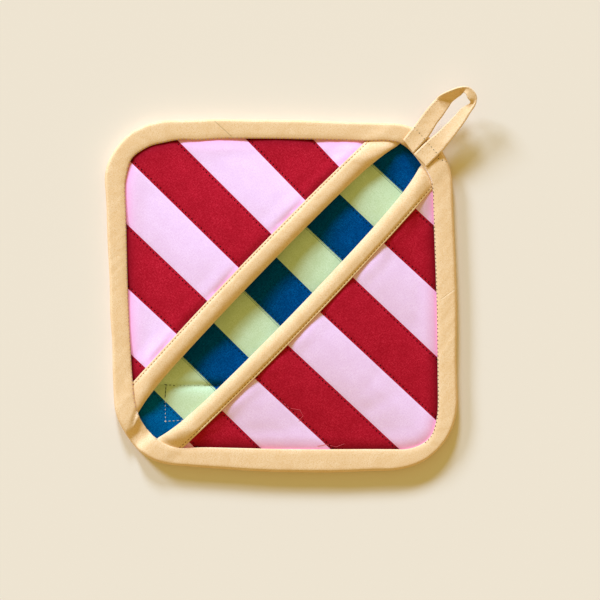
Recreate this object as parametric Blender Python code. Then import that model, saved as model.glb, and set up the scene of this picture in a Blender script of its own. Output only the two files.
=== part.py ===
"""Pocket pot holder, lying face up on a table.

Metres, +Z up. The origin is the centre of the square on its flat underside. The open band
between the two pockets runs from the -X -Y corner to the +X +Y corner, where the loop is sewn.
The upper pocket is on the -X +Y side of the band and the lower pocket on the +X -Y side.
"""
import math

import bpy
from mathutils import Vector

# The square, over the outer fold of its edge binding
SIDE = 0.2134
CORNER_PULL = {  # how far each corner is stretched or drawn in from the true square
    "bottom_left": (0.0044, 0.0015),
    "bottom_right": (0.0028, -0.0008),
    "top_right": (-0.0024, -0.0005),
    "top_left": (-0.0035, 0.0023),
}
CORNER_RADIUS = {"bottom_left": 0.0420, "bottom_right": 0.0440, "top_right": 0.0390, "top_left": 0.0400}
SIDE_BOW = {"bottom": 0.0024, "right": 0.0009, "top": 0.0011, "left": 0.0011}

# The edge binding, a folded tape that wraps every layer round the outside
EDGE_WIDTH = {"bottom": 0.0125, "right": 0.0122, "top": 0.0112, "left": 0.0118}
EDGE_INNER_RADIUS = {"bottom_left": 0.034, "bottom_right": 0.023, "top_right": 0.035, "top_left": 0.031}
EDGE_INNER_BOW = 0.0006
EDGE_CROWN = 0.0007
CROWN_SHARE = 0.6  # where across a binding its upper leg stands highest
EDGE_FOLD_DEPTH = 0.0026  # from the outer fold to the cut edges of the layers inside
FOLD_ROUNDING = 1.15  # how far a fold's round reaches, against the depth of the fold
FOLD_HEEL = (0.25, 0.18)  # a point on that round: share of its reach, share of its height
CROWN_AT_FOLD = 0.6  # how full a crowned leg already is where it leaves the fold

# Cloth, tape and the space between pieces that touch
CLOTH = 0.0005
TAPE = 0.0009
CLEARANCE = 0.0003

# Wadding, at its fullest, along the seams, inside a mouth binding and inside the edge binding
BASE_FILL = 0.0032
BASE_SEAM_FILL = 0.0024
POCKET_FILL = 0.0026
POCKET_SEAM_FILL = 0.0018
MOUTH_FILL = 0.0016
RIM_FILL = 0.0010
SWELL = 0.012  # how far in from a binding the wadding takes to swell up
RIM_RISE = 0.006  # how far in the layers take to close down over the binding's lower leg
SEAM_SHARE = 0.2  # share of a strip's width, at each side, that slopes down to its seam

# The pockets: how far each free edge lies from the middle diagonal, and how it stands open
MOUTH_DISTANCE = {"upper": 0.0190, "lower": 0.0122}
MOUTH_BOW = {"upper": 0.0024, "lower": 0.0029}
MOUTH_HOOK = 0.0035  # how far both ends of a free edge turn in where they meet the edge binding
HOOK_POWER = 8  # the higher, the closer to its ends a free edge starts to turn
MOUTH_WIDTH = {"upper": 0.0121, "lower": 0.0115}
MOUTH_CROWN = 0.0004
MOUTH_EASE = 0.0004  # between a mouth binding and the layers it wraps, then the same near its ends
MOUTH_END_EASE = 0.0013
MOUTH_TURN = math.radians(1.0)
MOUTH_FOLD_DEPTH = 0.0018
GAPE = 0.0066
GAPE_REACH = 0.072
DIP_START = 0.0045  # the edge binding starts to dip this far from a free edge
DIP_BLEND = 0.004

# The patchwork: the first seam from the -X -Y end, then the width of each whole strip
STRIPE_TURN = {"base": math.radians(1.0), "upper": math.radians(2.0), "lower": math.radians(2.0)}
FIRST_SEAM = {"base": -0.0970, "upper": -0.0887, "lower": -0.1060}
STRIP_WIDTHS = {
    "base": (0.0278,) * 7,
    "upper": (0.0272, 0.0281, 0.0284, 0.0292, 0.0297, 0.0292),
    "lower": (0.0287,) * 7,
}
SHORTEST_END = 0.004  # the layers of a pocket stop where they are this short inside the binding
SMALLEST_STRIP = 0.003

# The hanging loop, one flat tape whose ends lie side by side over the corner
LOOP_WIDTH = 0.0114
LOOP_THICKNESS = 0.0013
LOOP_SEAT = (0.0816, 0.0879)  # where the two ends meet, on the corner
LOOP_TURN = math.radians(51.5)
LOOP_LENGTH = 0.0485
LOOP_SPREAD = 0.0092
LOOP_BANK = math.radians(62.0)
LOOP_LEG = 0.0150  # the sewn length of each leg
LOOP_BEVEL = 0.6  # how far each thin edge is rounded, against half the tape's thickness

# Mesh steps
SIDE_STEPS = 5
CORNER_STEPS = 8
LOOP_STEPS = 24
SMALLEST_STEP = 0.0003
SWELL_ROW = 0.4  # share of a swelling at which one more row stands
OPEN_ROW = 0.6  # share of the way across a pocket at which a row stands
END_COLUMNS = {  # where columns stand in a panel's two end strips, as shares from their outer ends
    "base": (0.0, 0.5),
    "upper": (0.0, 0.33, 0.5),
    "lower": (0.0, 0.33, 0.5),
}
HALVINGS = 40  # how closely a meeting place is searched for
REFINEMENTS = 6
PARALLEL = 1e-12
SHARP_ANGLE = math.radians(40.0)

COLOURS = {
    "blue": (0.004, 0.060, 0.220),
    "green": (0.580, 0.760, 0.460),
    "red": (0.440, 0.008, 0.026),
    "pink": (0.940, 0.640, 0.900),
    "tan": (0.880, 0.590, 0.300),
    "wadding": (0.800, 0.780, 0.700),
}
CLOTH_ROUGHNESS = 0.9

CORNER_ORDER = ("bottom_left", "bottom_right", "top_right", "top_left")
SIDE_ORDER = ("bottom", "right", "top", "left")
CORNER_SIGN = {"bottom_left": (-1, -1), "bottom_right": (1, -1), "top_right": (1, 1), "top_left": (-1, 1)}
DIAGONAL = math.radians(45.0)
STRIPE_SIGN = {"upper": -1.0, "lower": 1.0}
CLOSED_SIDES = {"upper": (2, 3), "lower": (0, 1)}  # places in SIDE_ORDER


def smooth(x):
    x = min(max(x, 0.0), 1.0)
    return x * x * (3.0 - 2.0 * x)


def mix(a, b, share):
    return a + (b - a) * share


def unit(angle):
    return Vector((math.cos(angle), math.sin(angle)))


def cross(a, b):
    return a.x * b.y - a.y * b.x


# Outlines, anticlockwise from the bottom left corner

def outer_corners():
    points = []
    for name in CORNER_ORDER:
        sign, pull = CORNER_SIGN[name], CORNER_PULL[name]
        points.append(Vector((sign[0] * SIDE / 2 + pull[0], sign[1] * SIDE / 2 + pull[1])))
    return points


def inner_corners(corners):
    # each side moves in by its own width, and neighbours meet again
    lines = []
    for i, side in enumerate(SIDE_ORDER):
        start, end = corners[i], corners[(i + 1) % 4]
        along = (end - start).normalized()
        inward = Vector((-along.y, along.x))
        lines.append((start + inward * EDGE_WIDTH[side], along))
    points = []
    for i in range(4):
        before, after = lines[i - 1], lines[i]
        step = cross(after[0] - before[0], after[1]) / cross(before[1], after[1])
        points.append(before[0] + before[1] * step)
    return points


def outline(corners, radii, bows):
    arcs = []
    for i, name in enumerate(CORNER_ORDER):
        corner = corners[i]
        back = (corners[i - 1] - corner).normalized()
        ahead = (corners[(i + 1) % 4] - corner).normalized()
        half = math.acos(max(-1.0, min(1.0, back.dot(ahead)))) / 2
        tangent = radii[name] / math.tan(half)
        centre = corner + (back + ahead).normalized() * radii[name] / math.sin(half)
        first = corner + back * tangent - centre
        sweep = math.pi - 2 * half
        start = math.atan2(first.y, first.x)
        arcs.append([centre + unit(start + sweep * k / CORNER_STEPS) * radii[name]
                     for k in range(CORNER_STEPS + 1)])
    points = []
    for i, side in enumerate(SIDE_ORDER):
        points += arcs[i]
        start, end = arcs[i][-1], arcs[(i + 1) % 4][0]
        along = (end - start).normalized()
        outward = Vector((along.y, -along.x))
        for k in range(1, SIDE_STEPS):
            share = k / SIDE_STEPS
            swell = bows[side] * (1 - math.cos(2 * math.pi * share)) / 2
            points.append(start.lerp(end, share) + outward * swell)
    return points


INNER_CORNERS = inner_corners(outer_corners())
OUTER = outline(outer_corners(), CORNER_RADIUS, SIDE_BOW)
INNER = outline(INNER_CORNERS, EDGE_INNER_RADIUS, dict.fromkeys(SIDE_ORDER, EDGE_INNER_BOW))


def across_edge(index, depth):
    # a point inside the edge binding, that far in from its outer fold
    return OUTER[index].lerp(INNER[index], depth / (INNER[index] - OUTER[index]).length)


LAYER_EDGE = [across_edge(i, EDGE_FOLD_DEPTH) for i in range(len(OUTER))]


def depth_inside(point, ring):
    # distance in from a ring of points, negative outside it
    best, sign = None, 1.0
    for i, start in enumerate(ring):
        side = ring[(i + 1) % len(ring)] - start
        share = min(max((point - start).dot(side) / side.length_squared, 0.0), 1.0)
        distance = (point - start - side * share).length
        if best is None or distance < best:
            best = distance
            sign = 1.0 if cross(side, point - start) >= 0 else -1.0
    return best * sign


# The free edges of the pockets

HALF_BAND = INNER_CORNERS[0].length - EDGE_INNER_RADIUS["bottom_left"] * (math.sqrt(2) - 1)
MOUTH_ALONG = unit(DIAGONAL + MOUTH_TURN)
MOUTH_ACROSS = unit(-DIAGONAL + MOUTH_TURN)


def mouth_offset(pocket, along):
    share = along / HALF_BAND
    bowed = MOUTH_DISTANCE[pocket] - MOUTH_BOW[pocket] * share ** 2
    return STRIPE_SIGN[pocket] * (bowed - MOUTH_HOOK * min(share ** HOOK_POWER, 1.0))


def past_mouth(pocket, point):
    # distance from the free edge into the pocket, negative over the open band
    return STRIPE_SIGN[pocket] * (point.dot(MOUTH_ACROSS) - mouth_offset(pocket, point.dot(MOUTH_ALONG)))


# Heights. Each layer lies on the one below it, with the clearance between.

LAYERS = 2 * CLOTH + 2 * CLEARANCE
RIM_TOP = TAPE + CLEARANCE + 2 * (LAYERS + RIM_FILL + CLEARANCE)


def swelling(point):
    return smooth((depth_inside(point, INNER) - SMALLEST_STEP) / SWELL)


def edge_under(point):
    # underside of the upper leg, which dips where only the base is bound, away from the loop
    nearest = min(-past_mouth("upper", point), -past_mouth("lower", point))
    dip = smooth((nearest - DIP_START) / DIP_BLEND) if point.dot(MOUTH_ALONG) < 0 else 0.0
    return RIM_TOP - (LAYERS + RIM_FILL + CLEARANCE) * dip


def back_bottom(point):
    # flat on the table, and lifted over the lower leg of the edge binding
    lifted = 1 - smooth((depth_inside(point, INNER) - 2 * CLEARANCE) / RIM_RISE)
    return (TAPE + CLEARANCE) * lifted


def base_fill(point, pillow):
    return mix(RIM_FILL, mix(BASE_SEAM_FILL, BASE_FILL, pillow), swelling(point))


def base_wadding_bottom(point):
    return back_bottom(point) + CLOTH + CLEARANCE


def base_wadding_top(point, pillow):
    return base_wadding_bottom(point) + base_fill(point, pillow)


def base_top(point, pillow=1.0):
    return base_wadding_top(point, pillow) + CLEARANCE + CLOTH


def gape(pocket, point):
    # highest at the middle of the free edge, nothing along the two closed sides
    height = GAPE
    for side in CLOSED_SIDES[pocket]:
        start, end = INNER_CORNERS[side], INNER_CORNERS[(side + 1) % 4]
        distance = cross((end - start).normalized(), point - start)
        height *= smooth(distance / GAPE_REACH)
    return height


def mouth_ease(point):
    return mix(MOUTH_END_EASE, MOUTH_EASE, smooth(depth_inside(point, INNER) / (2 * SWELL)))


def mouth_lift(pocket, point):
    # room for the lower leg of the mouth binding between the lining and the base
    near = 1 - smooth((past_mouth(pocket, point) - MOUTH_WIDTH[pocket]) / SWELL)
    clear_of_rim = smooth((depth_inside(point, INNER) - 2 * CLEARANCE) / RIM_RISE)
    return (TAPE + mouth_ease(point)) * near * clear_of_rim


def lining_bottom(pocket, point):
    return base_top(point) + CLEARANCE + gape(pocket, point) + mouth_lift(pocket, point)


def pocket_fill(pocket, point, pillow):
    full = mix(POCKET_SEAM_FILL, POCKET_FILL, pillow)
    from_mouth = smooth((past_mouth(pocket, point) - MOUTH_WIDTH[pocket] - CLEARANCE) / SWELL)
    return mix(RIM_FILL, mix(MOUTH_FILL, full, from_mouth), swelling(point))


def pocket_wadding_bottom(pocket, point):
    return lining_bottom(pocket, point) + CLOTH + CLEARANCE


def pocket_wadding_top(pocket, point, pillow):
    return pocket_wadding_bottom(pocket, point) + pocket_fill(pocket, point, pillow)


def pocket_top(pocket, point, pillow=1.0):
    return pocket_wadding_top(pocket, point, pillow) + CLEARANCE + CLOTH


# Solids

def material(name, colour):
    made = bpy.data.materials.new(name)
    made.use_nodes = True
    shader = made.node_tree.nodes["Principled BSDF"]
    shader.inputs["Base Color"].default_value = (*COLOURS[colour], 1.0)
    shader.inputs["Roughness"].default_value = CLOTH_ROUGHNESS
    shader.inputs["Metallic"].default_value = 0.0
    return made


def add_object(name, vertices, faces, colour):
    mesh = bpy.data.meshes.new(name)
    mesh.from_pydata([tuple(v) for v in vertices], [], faces)
    mesh.shade_smooth()
    mesh.set_sharp_from_angle(angle=SHARP_ANGLE)
    piece = bpy.data.objects.new(name, mesh)
    piece.data.materials.append(material(name, colour))
    bpy.context.scene.collection.objects.link(piece)
    return piece


def sheet_solid(name, grid, bottom, top, colour):
    # grid is a list of columns, each a list of (point, pillow); faces point out
    columns, rows = len(grid), len(grid[0])
    lower, upper = [], []
    for column in grid:
        for point, pillow in column:
            lower.append((point.x, point.y, bottom(point, pillow)))
            upper.append((point.x, point.y, top(point, pillow)))
    count = columns * rows
    turned = cross(grid[1][0][0] - grid[0][0][0], grid[0][1][0] - grid[0][0][0]) < 0

    def at(i, j, level):
        return level * count + i * rows + j

    faces = []
    for i in range(columns - 1):
        for j in range(rows - 1):
            faces.append((at(i, j, 1), at(i + 1, j, 1), at(i + 1, j + 1, 1), at(i, j + 1, 1)))
            faces.append((at(i, j, 0), at(i, j + 1, 0), at(i + 1, j + 1, 0), at(i + 1, j, 0)))
    for i in range(columns - 1):
        faces.append((at(i, 0, 0), at(i + 1, 0, 0), at(i + 1, 0, 1), at(i, 0, 1)))
        last = rows - 1
        faces.append((at(i + 1, last, 0), at(i, last, 0), at(i, last, 1), at(i + 1, last, 1)))
    for j in range(rows - 1):
        faces.append((at(0, j + 1, 0), at(0, j, 0), at(0, j, 1), at(0, j + 1, 1)))
        last = columns - 1
        faces.append((at(last, j, 0), at(last, j + 1, 0), at(last, j + 1, 1), at(last, j, 1)))
    if turned:
        faces = [tuple(reversed(face)) for face in faces]
    return add_object(name, lower + upper, faces, colour)


def tube_solid(name, rings, closed, colour):
    # rings of the same number of points, joined one to the next
    count = len(rings[0])
    vertices = [v for ring in rings for v in ring]
    faces = []
    spans = len(rings) if closed else len(rings) - 1
    for i in range(spans):
        a, b = i * count, ((i + 1) % len(rings)) * count
        for j in range(count):
            k = (j + 1) % count
            faces.append((a + j, b + j, b + k, a + k))
    if not closed:
        faces.append(tuple(range(count)))
        faces.append(tuple(reversed(range((len(rings) - 1) * count, len(rings) * count))))
    if signed_volume(vertices, faces) < 0:
        faces = [tuple(reversed(face)) for face in faces]
    return add_object(name, vertices, faces, colour)


def signed_volume(vertices, faces):
    total = 0.0
    for face in faces:
        first = Vector(vertices[face[0]])
        for j in range(1, len(face) - 1):
            total += first.dot(Vector(vertices[face[j]]).cross(Vector(vertices[face[j + 1]])))
    return total


# Panels. A column runs along the stripes, and rows stand where the layers change height.

def crossings(start, direction, ring):
    # every distance at which a straight line crosses the ring, in order
    found = []
    for i, a in enumerate(ring):
        side = ring[(i + 1) % len(ring)] - a
        scale = cross(direction, side)
        if abs(scale) < PARALLEL:
            continue
        share = cross(a - start, direction) / scale
        if 0.0 <= share < 1.0:
            found.append(cross(a - start, side) / scale)
    return sorted(found)


def spaced(stops, length):
    # keep the stops in order and inside the column
    placed = []
    for i, stop in enumerate(stops):
        lowest = placed[-1] + SMALLEST_STEP if placed else 0.0
        highest = length - (len(stops) - 1 - i) * SMALLEST_STEP
        placed.append(min(max(stop, lowest), highest))
    return placed


def pocket_line(pocket, across):
    # where a column starts, behind the fold of the mouth binding, and which way it runs
    turn = STRIPE_TURN[pocket]
    along = unit(-DIAGONAL + turn) * STRIPE_SIGN[pocket]
    start = unit(DIAGONAL + turn) * across
    for _ in range(REFINEMENTS):
        start = start - along * (past_mouth(pocket, start) - MOUTH_FOLD_DEPTH)
    return start, along


def pocket_column(pocket, across):
    start, along = pocket_line(pocket, across)
    length = max([0.0] + crossings(start, along, LAYER_EDGE))
    rim = max([0.0] + crossings(start, along, INNER)) - SMALLEST_STEP
    bound = MOUTH_WIDTH[pocket] - MOUTH_FOLD_DEPTH + 2 * CLEARANCE
    bound = min(bound, max(rim, 0.0))
    swell = SWELL * min(1.0, max(rim - bound, 0.0) / (2 * SWELL))
    stops = [0.0, bound, bound + swell * (1 - SWELL_ROW), mix(bound, rim - swell, OPEN_ROW)]
    stops += [rim - swell, rim - swell * SWELL_ROW, rim, length]
    return start, along, stops, length


def base_column(across):
    turn = STRIPE_TURN["base"]
    along = unit(-DIAGONAL + turn)
    middle = unit(DIAGONAL + turn) * across
    ends = crossings(middle, along, LAYER_EDGE) or [0.0, 0.0]
    start, length = middle + along * ends[0], ends[-1] - ends[0]
    rims = crossings(start, along, INNER) or [length / 2, length / 2]
    near, far = rims[0] + SMALLEST_STEP, rims[-1] - SMALLEST_STEP
    swell = SWELL * min(1.0, max(far - near, 0.0) / (3 * SWELL))
    stops = [0.0, near, near + swell * SWELL_ROW, near + swell]
    stops += [far - swell, far - swell * SWELL_ROW, far, length]
    return start, along, stops, length


def column(panel, across):
    start, along, stops, length = base_column(across) if panel == "base" else pocket_column(panel, across)
    return [start + along * stop for stop in spaced(stops, length)]


def layers_remain(panel, across):
    return (base_column(across) if panel == "base" else pocket_column(panel, across))[3] > SHORTEST_END


def shows(panel, across):
    # whether any of a column lies inside the edge binding's inner edge
    if panel == "base":
        middle = unit(DIAGONAL + STRIPE_TURN["base"]) * across
        return bool(crossings(middle, unit(-DIAGONAL + STRIPE_TURN["base"]), INNER))
    return depth_inside(pocket_line(panel, across)[0], INNER) > SMALLEST_STEP


def last_across(test, panel, sign):
    low, high = 0.0, SIDE
    for _ in range(HALVINGS):
        middle = (low + high) / 2
        if test(panel, sign * middle):
            low = middle
        else:
            high = middle
    return sign * low


def seams(panel):
    # the strips' edges, with the panel's own ends first and last
    places = [FIRST_SEAM[panel]]
    for width in STRIP_WIDTHS[panel]:
        places.append(places[-1] + width)
    low, high = last_across(shows, panel, -1), last_across(shows, panel, 1)
    inside = [(i, s) for i, s in enumerate(places) if low + SMALLEST_STRIP < s < high - SMALLEST_STRIP]
    ends = [last_across(layers_remain, panel, sign) for sign in (-1, 1)]
    return [(inside[0][0] - 1, ends[0])] + inside + [(len(places), ends[1])]


def strip_stations(panel, edges, k, trim):
    # where a strip's columns stand, each with how far its wadding is swollen
    low, high = edges[k][1], edges[k + 1][1]
    shown_low = last_across(shows, panel, -1) if k == 0 else low
    shown_high = last_across(shows, panel, 1) if k == len(edges) - 2 else high
    slope = SEAM_SHARE * (shown_high - shown_low)
    if k == 0:
        stations = [(low, 1.0)] + [(mix(shown_low, shown_high, share), 1.0) for share in END_COLUMNS[panel]]
    else:
        stations = [(low + trim, trim / slope), (low + slope, 1.0)]
    if k == len(edges) - 2:
        stations += [(mix(shown_high, shown_low, share), 1.0) for share in END_COLUMNS[panel][::-1]]
        stations.append((high, 1.0))
    else:
        stations += [(high - slope, 1.0), (high - trim, trim / slope)]
    return stations


def panel_grid(panel, edges):
    grid = []
    for k in range(len(edges) - 1):
        stations = strip_stations(panel, edges, k, 0.0)
        for across, pillow in stations if k == 0 else stations[1:]:
            grid.append([(point, pillow) for point in column(panel, across)])
    return grid


def strip_grid(panel, edges, k):
    return [[(point, pillow) for point in column(panel, across)]
            for across, pillow in strip_stations(panel, edges, k, CLEARANCE / 2)]


def make_base():
    edges = seams("base")
    sheet_solid("base_back_cloth", panel_grid("base", edges),
                lambda p, q: back_bottom(p), lambda p, q: back_bottom(p) + CLOTH, "blue")
    sheet_solid("base_wadding", panel_grid("base", edges),
                lambda p, q: base_wadding_bottom(p), base_wadding_top, "wadding")
    for k in range(len(edges) - 1):
        colour = "blue" if (edges[k][0] + 1) % 2 == 0 else "green"
        sheet_solid(f"base_strip_{k + 1}", strip_grid("base", edges, k),
                    lambda p, q: base_top(p, q) - CLOTH, base_top, colour)


def make_pocket(pocket):
    edges = seams(pocket)
    sheet_solid(f"{pocket}_pocket_lining", panel_grid(pocket, edges),
                lambda p, q: lining_bottom(pocket, p), lambda p, q: lining_bottom(pocket, p) + CLOTH, "tan")
    sheet_solid(f"{pocket}_pocket_wadding", panel_grid(pocket, edges),
                lambda p, q: pocket_wadding_bottom(pocket, p),
                lambda p, q: pocket_wadding_top(pocket, p, q), "wadding")
    first = {"upper": "red", "lower": "pink"}[pocket]
    other = "pink" if first == "red" else "red"
    for k in range(len(edges) - 1):
        colour = first if (edges[k][0] + 1) % 2 == 0 else other
        sheet_solid(f"{pocket}_strip_{k + 1}", strip_grid(pocket, edges, k),
                    lambda p, q: pocket_top(pocket, p, q) - CLOTH,
                    lambda p, q: pocket_top(pocket, p, q), colour)


# Bindings. A section is a list of (share of the width, level, wall) from the lower leg round
# the fold to the upper leg and back inside. Level 0 is the lower leg and 1 the upper leg.

def outside_section(fold):
    reach = fold * FOLD_ROUNDING
    heel, rise = FOLD_HEEL[0] * reach, FOLD_HEEL[1]
    return [(1.0, 0.0), (reach, 0.0), (heel, rise), (0.0, 0.5), (heel, 1.0 - rise), (reach, 1.0),
            (CROWN_SHARE, 1.0), (1.0, 1.0)]


def inside_section(fold, wall):
    return [(1.0, 1.0), (fold, 1.0), (wall, 0.5), (fold, 0.0), (1.0, 0.0)]


def crown_at(share):
    # fullest part way across the tape, and stitched flat along its free edge
    return min(mix(CROWN_AT_FOLD, 1.0, share / CROWN_SHARE), (1 - share) / (1 - CROWN_SHARE))


def edge_binding_ring(index):
    width = (INNER[index] - OUTER[index]).length
    fold = EDGE_FOLD_DEPTH / width
    ring = []
    for share, level in outside_section(fold):
        point = across_edge(index, share * width)
        crown = EDGE_CROWN * crown_at(share) if level == 1.0 else 0.0
        ring.append((point.x, point.y, (edge_under(point) + TAPE) * level + crown))
    for share, level in inside_section(fold, TAPE / width):
        point = across_edge(index, share * width)
        ring.append((point.x, point.y, mix(TAPE, edge_under(point), level)))
    return ring


def make_edge_binding():
    tube_solid("edge_binding", [edge_binding_ring(i) for i in range(len(OUTER))], True, "tan")


def mouth_end(pocket, depth, margin, sign):
    # the column on which a line along the mouth binding meets the edge binding
    low, high = 0.0, SIDE
    for _ in range(HALVINGS):
        middle = (low + high) / 2
        if depth_inside(mouth_point(pocket, sign * middle, depth), INNER) > margin:
            low = middle
        else:
            high = middle
    return sign * low


def mouth_point(pocket, across, depth):
    start, along = pocket_line(pocket, across)
    return start + along * (depth - MOUTH_FOLD_DEPTH)


def fitted(places, low, high):
    # keep the columns that a line reaches, and spread the rest over what is left at its ends
    inside = [place for place in places if low + SMALLEST_STRIP < place < high - SMALLEST_STRIP]
    before = sum(place <= low + SMALLEST_STRIP for place in places) + 1
    after = len(places) + 2 - len(inside) - before
    first = [mix(low, inside[0], k / before) for k in range(before)]
    last = [mix(high, inside[-1], k / after) for k in range(after)]
    return first + inside + last[::-1]


def make_mouth_binding(pocket):
    width = MOUTH_WIDTH[pocket]
    fold = MOUTH_FOLD_DEPTH / width
    lines = [(share, level, TAPE) for share, level in outside_section(fold)]
    lines += [(share, level, 0.0) for share, level in inside_section(fold, TAPE / width)]
    # the lower leg stops short, where the layers close in on the base
    margins = [mix(RIM_RISE, CLEARANCE, level) for _, level, _ in lines]
    lows, highs = [[mouth_end(pocket, line[0] * width, margin, sign) for line, margin in zip(lines, margins)]
                   for sign in (-1, 1)]
    edges = seams(pocket)
    places = sorted({across for k in range(len(edges) - 1)
                     for across, _ in strip_stations(pocket, edges, k, 0.0)
                     if min(lows) + SMALLEST_STRIP < across < max(highs) - SMALLEST_STRIP})
    columns = [fitted(places, low, high) for low, high in zip(lows, highs)]
    rings = []
    for k in range(len(places) + 2):
        ring = []
        for (share, level, wall), own in zip(lines, columns):
            across = own[k]
            point = mouth_point(pocket, across, share * width)
            under = lining_bottom(pocket, point) - mouth_ease(point) - wall
            over = pocket_top(pocket, point) + mouth_ease(point) + wall
            crown = MOUTH_CROWN * crown_at(share) if wall and level == 1.0 else 0.0
            ring.append((point.x, point.y, mix(under, over, level) + crown))
        rings.append(ring)
    tube_solid(f"{pocket}_mouth_binding", rings, False, "tan")


# The hanging loop

def loop_path(share):
    # centre and bank of the tape: up one leg, round the end and back down the other
    half_gap = (LOOP_WIDTH + CLEARANCE) / 2
    straight = LOOP_LENGTH - LOOP_SPREAD
    turn = math.pi * LOOP_SPREAD / 2
    total = 2 * straight + 2 * turn
    distance = share * total
    if distance < straight:
        along = distance
        side = -mix(half_gap, LOOP_SPREAD, smooth((along - LOOP_LEG) / (straight - LOOP_LEG)))
    elif distance > total - straight:
        along = total - distance
        side = mix(half_gap, LOOP_SPREAD, smooth((along - LOOP_LEG) / (straight - LOOP_LEG)))
    else:
        angle = (distance - straight) / (2 * turn) * math.pi
        along = straight + LOOP_SPREAD * math.sin(angle)
        side = -LOOP_SPREAD * math.cos(angle)
    bank = LOOP_BANK * smooth((along - LOOP_LEG) / (straight - LOOP_LEG))
    return along, side, bank


def make_loop():
    ahead, across = unit(LOOP_TURN), unit(LOOP_TURN - math.pi / 2)
    seat = Vector(LOOP_SEAT)
    bottom = RIM_TOP + TAPE + EDGE_CROWN + CLEARANCE
    samples = []
    for k in range(LOOP_STEPS + 1):
        along, side, bank = loop_path(k / LOOP_STEPS)
        flat = seat + ahead * along + across * side
        samples.append((Vector((flat.x, flat.y, 0.0)), bank))
    rings = []
    for k, (centre, bank) in enumerate(samples):
        before, after = samples[max(k - 1, 0)][0], samples[min(k + 1, LOOP_STEPS)][0]
        forward = (after - before).normalized()
        inward = Vector((forward.y, -forward.x, 0.0))
        outer = -inward * math.cos(bank) + Vector((0, 0, math.sin(bank)))
        normal = inward * math.sin(bank) + Vector((0, 0, math.cos(bank)))
        middle = centre + Vector((0, 0, bottom + LOOP_THICKNESS / 2 + LOOP_WIDTH / 2 * math.sin(bank)))
        half, thick = LOOP_WIDTH / 2, LOOP_THICKNESS / 2
        bevel = half - thick * LOOP_BEVEL
        ring = [middle + outer * a + normal * b for a, b in (
            (-half, 0.0), (-bevel, thick), (bevel, thick), (half, 0.0), (bevel, -thick), (-bevel, -thick))]
        rings.append([tuple(v) for v in ring])
    tube_solid("hanging_loop", rings, False, "tan")


def main():
    for piece in list(bpy.data.objects):
        bpy.data.objects.remove(piece, do_unlink=True)
    make_base()
    for pocket in ("upper", "lower"):
        make_pocket(pocket)
        make_mouth_binding(pocket)
    make_edge_binding()
    make_loop()


main()
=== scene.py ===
import math

import bpy
import numpy as np
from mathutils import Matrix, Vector, noise
from mathutils.bvhtree import BVHTree

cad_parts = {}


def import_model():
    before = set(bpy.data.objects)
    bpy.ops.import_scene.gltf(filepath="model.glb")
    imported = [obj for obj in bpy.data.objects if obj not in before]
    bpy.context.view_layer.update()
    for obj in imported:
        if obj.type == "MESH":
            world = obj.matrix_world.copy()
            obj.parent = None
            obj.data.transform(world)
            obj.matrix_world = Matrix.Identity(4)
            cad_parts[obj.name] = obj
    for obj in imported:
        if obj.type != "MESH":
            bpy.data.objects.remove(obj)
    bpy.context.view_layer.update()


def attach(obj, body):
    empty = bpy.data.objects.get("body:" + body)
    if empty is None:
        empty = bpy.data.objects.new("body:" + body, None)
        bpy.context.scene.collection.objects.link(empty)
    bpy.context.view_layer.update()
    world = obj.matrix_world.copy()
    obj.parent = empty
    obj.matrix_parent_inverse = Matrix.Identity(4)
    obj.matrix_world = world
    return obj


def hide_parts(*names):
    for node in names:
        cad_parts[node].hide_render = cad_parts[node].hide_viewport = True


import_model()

# The square, its folded edge tape and its layers, in metres, as the solids have them
holder = {
    "side": 0.2134,
    "cornerPull": [(0.0044, 0.0015), (0.0028, -0.0008), (-0.0024, -0.0005), (-0.0035, 0.0023)],
    "cornerRadius": [0.0420, 0.0440, 0.0390, 0.0400],
    "sideBow": [0.0024, 0.0009, 0.0011, 0.0011],
    "tapeWidth": [0.0125, 0.0122, 0.0112, 0.0118],
    "innerRadius": [0.034, 0.023, 0.035, 0.031],
    "innerBow": [0.0006, 0.0006, 0.0006, 0.0006],
    "arcSteps": 44,
    "sideSteps": 120,
    # where the layers end under the tape, as a share of its width
    "layersEnd": 0.22,
    # hand-sewn unevenness: x, y, how far out, reach
    "outerBumps": [
        (0.1067, -0.038, -0.0004, 0.016), (0.103, -0.086, 0.0008, 0.014), (0.088, -0.100, 0.0011, 0.014),
        (0.060, -0.108, 0.0008, 0.020), (0.035, -0.1086, 0.0010, 0.018), (-0.066, -0.104, -0.0009, 0.012),
        (-0.095, -0.085, -0.0012, 0.014), (-0.105, -0.028, -0.0009, 0.014), (-0.106, 0.008, -0.0012, 0.022),
        (-0.108, 0.080, 0.0012, 0.014), (-0.094, 0.100, 0.0007, 0.010), (-0.040, 0.109, 0.0007, 0.014)],
    "innerBumps": [
        (-0.093, 0.085, 0.0017, 0.007), (-0.072, 0.0945, -0.0018, 0.009), (-0.052, 0.096, -0.0009, 0.010),
        (0.073, 0.094, 0.0016, 0.009), (0.086, 0.080, -0.0006, 0.008), (0.095, -0.077, -0.0008, 0.008),
        (0.090, -0.088, 0.0008, 0.009), (-0.068, -0.092, 0.0011, 0.012), (-0.090, -0.065, -0.0009, 0.013)],
}

layers = {
    "cloth": 0.0005,
    "tape": 0.0009,
    "gap": 0.0003,
    "baseFill": 0.0032,
    "pocketFill": 0.0026,
    "mouthFill": 0.0016,
    "rimFill": 0.0010,
    "swell": 0.012,
    "rimRise": 0.006,
    "seamDrop": 0.0006,
    # the round shoulder of a pad near the rim, and the slow rise behind it
    "shoulder": 0.008,
    "shoulderPower": 2.2,
    "wideShoulder": 0.045,
    "wideShare": 0.55,
}

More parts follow.
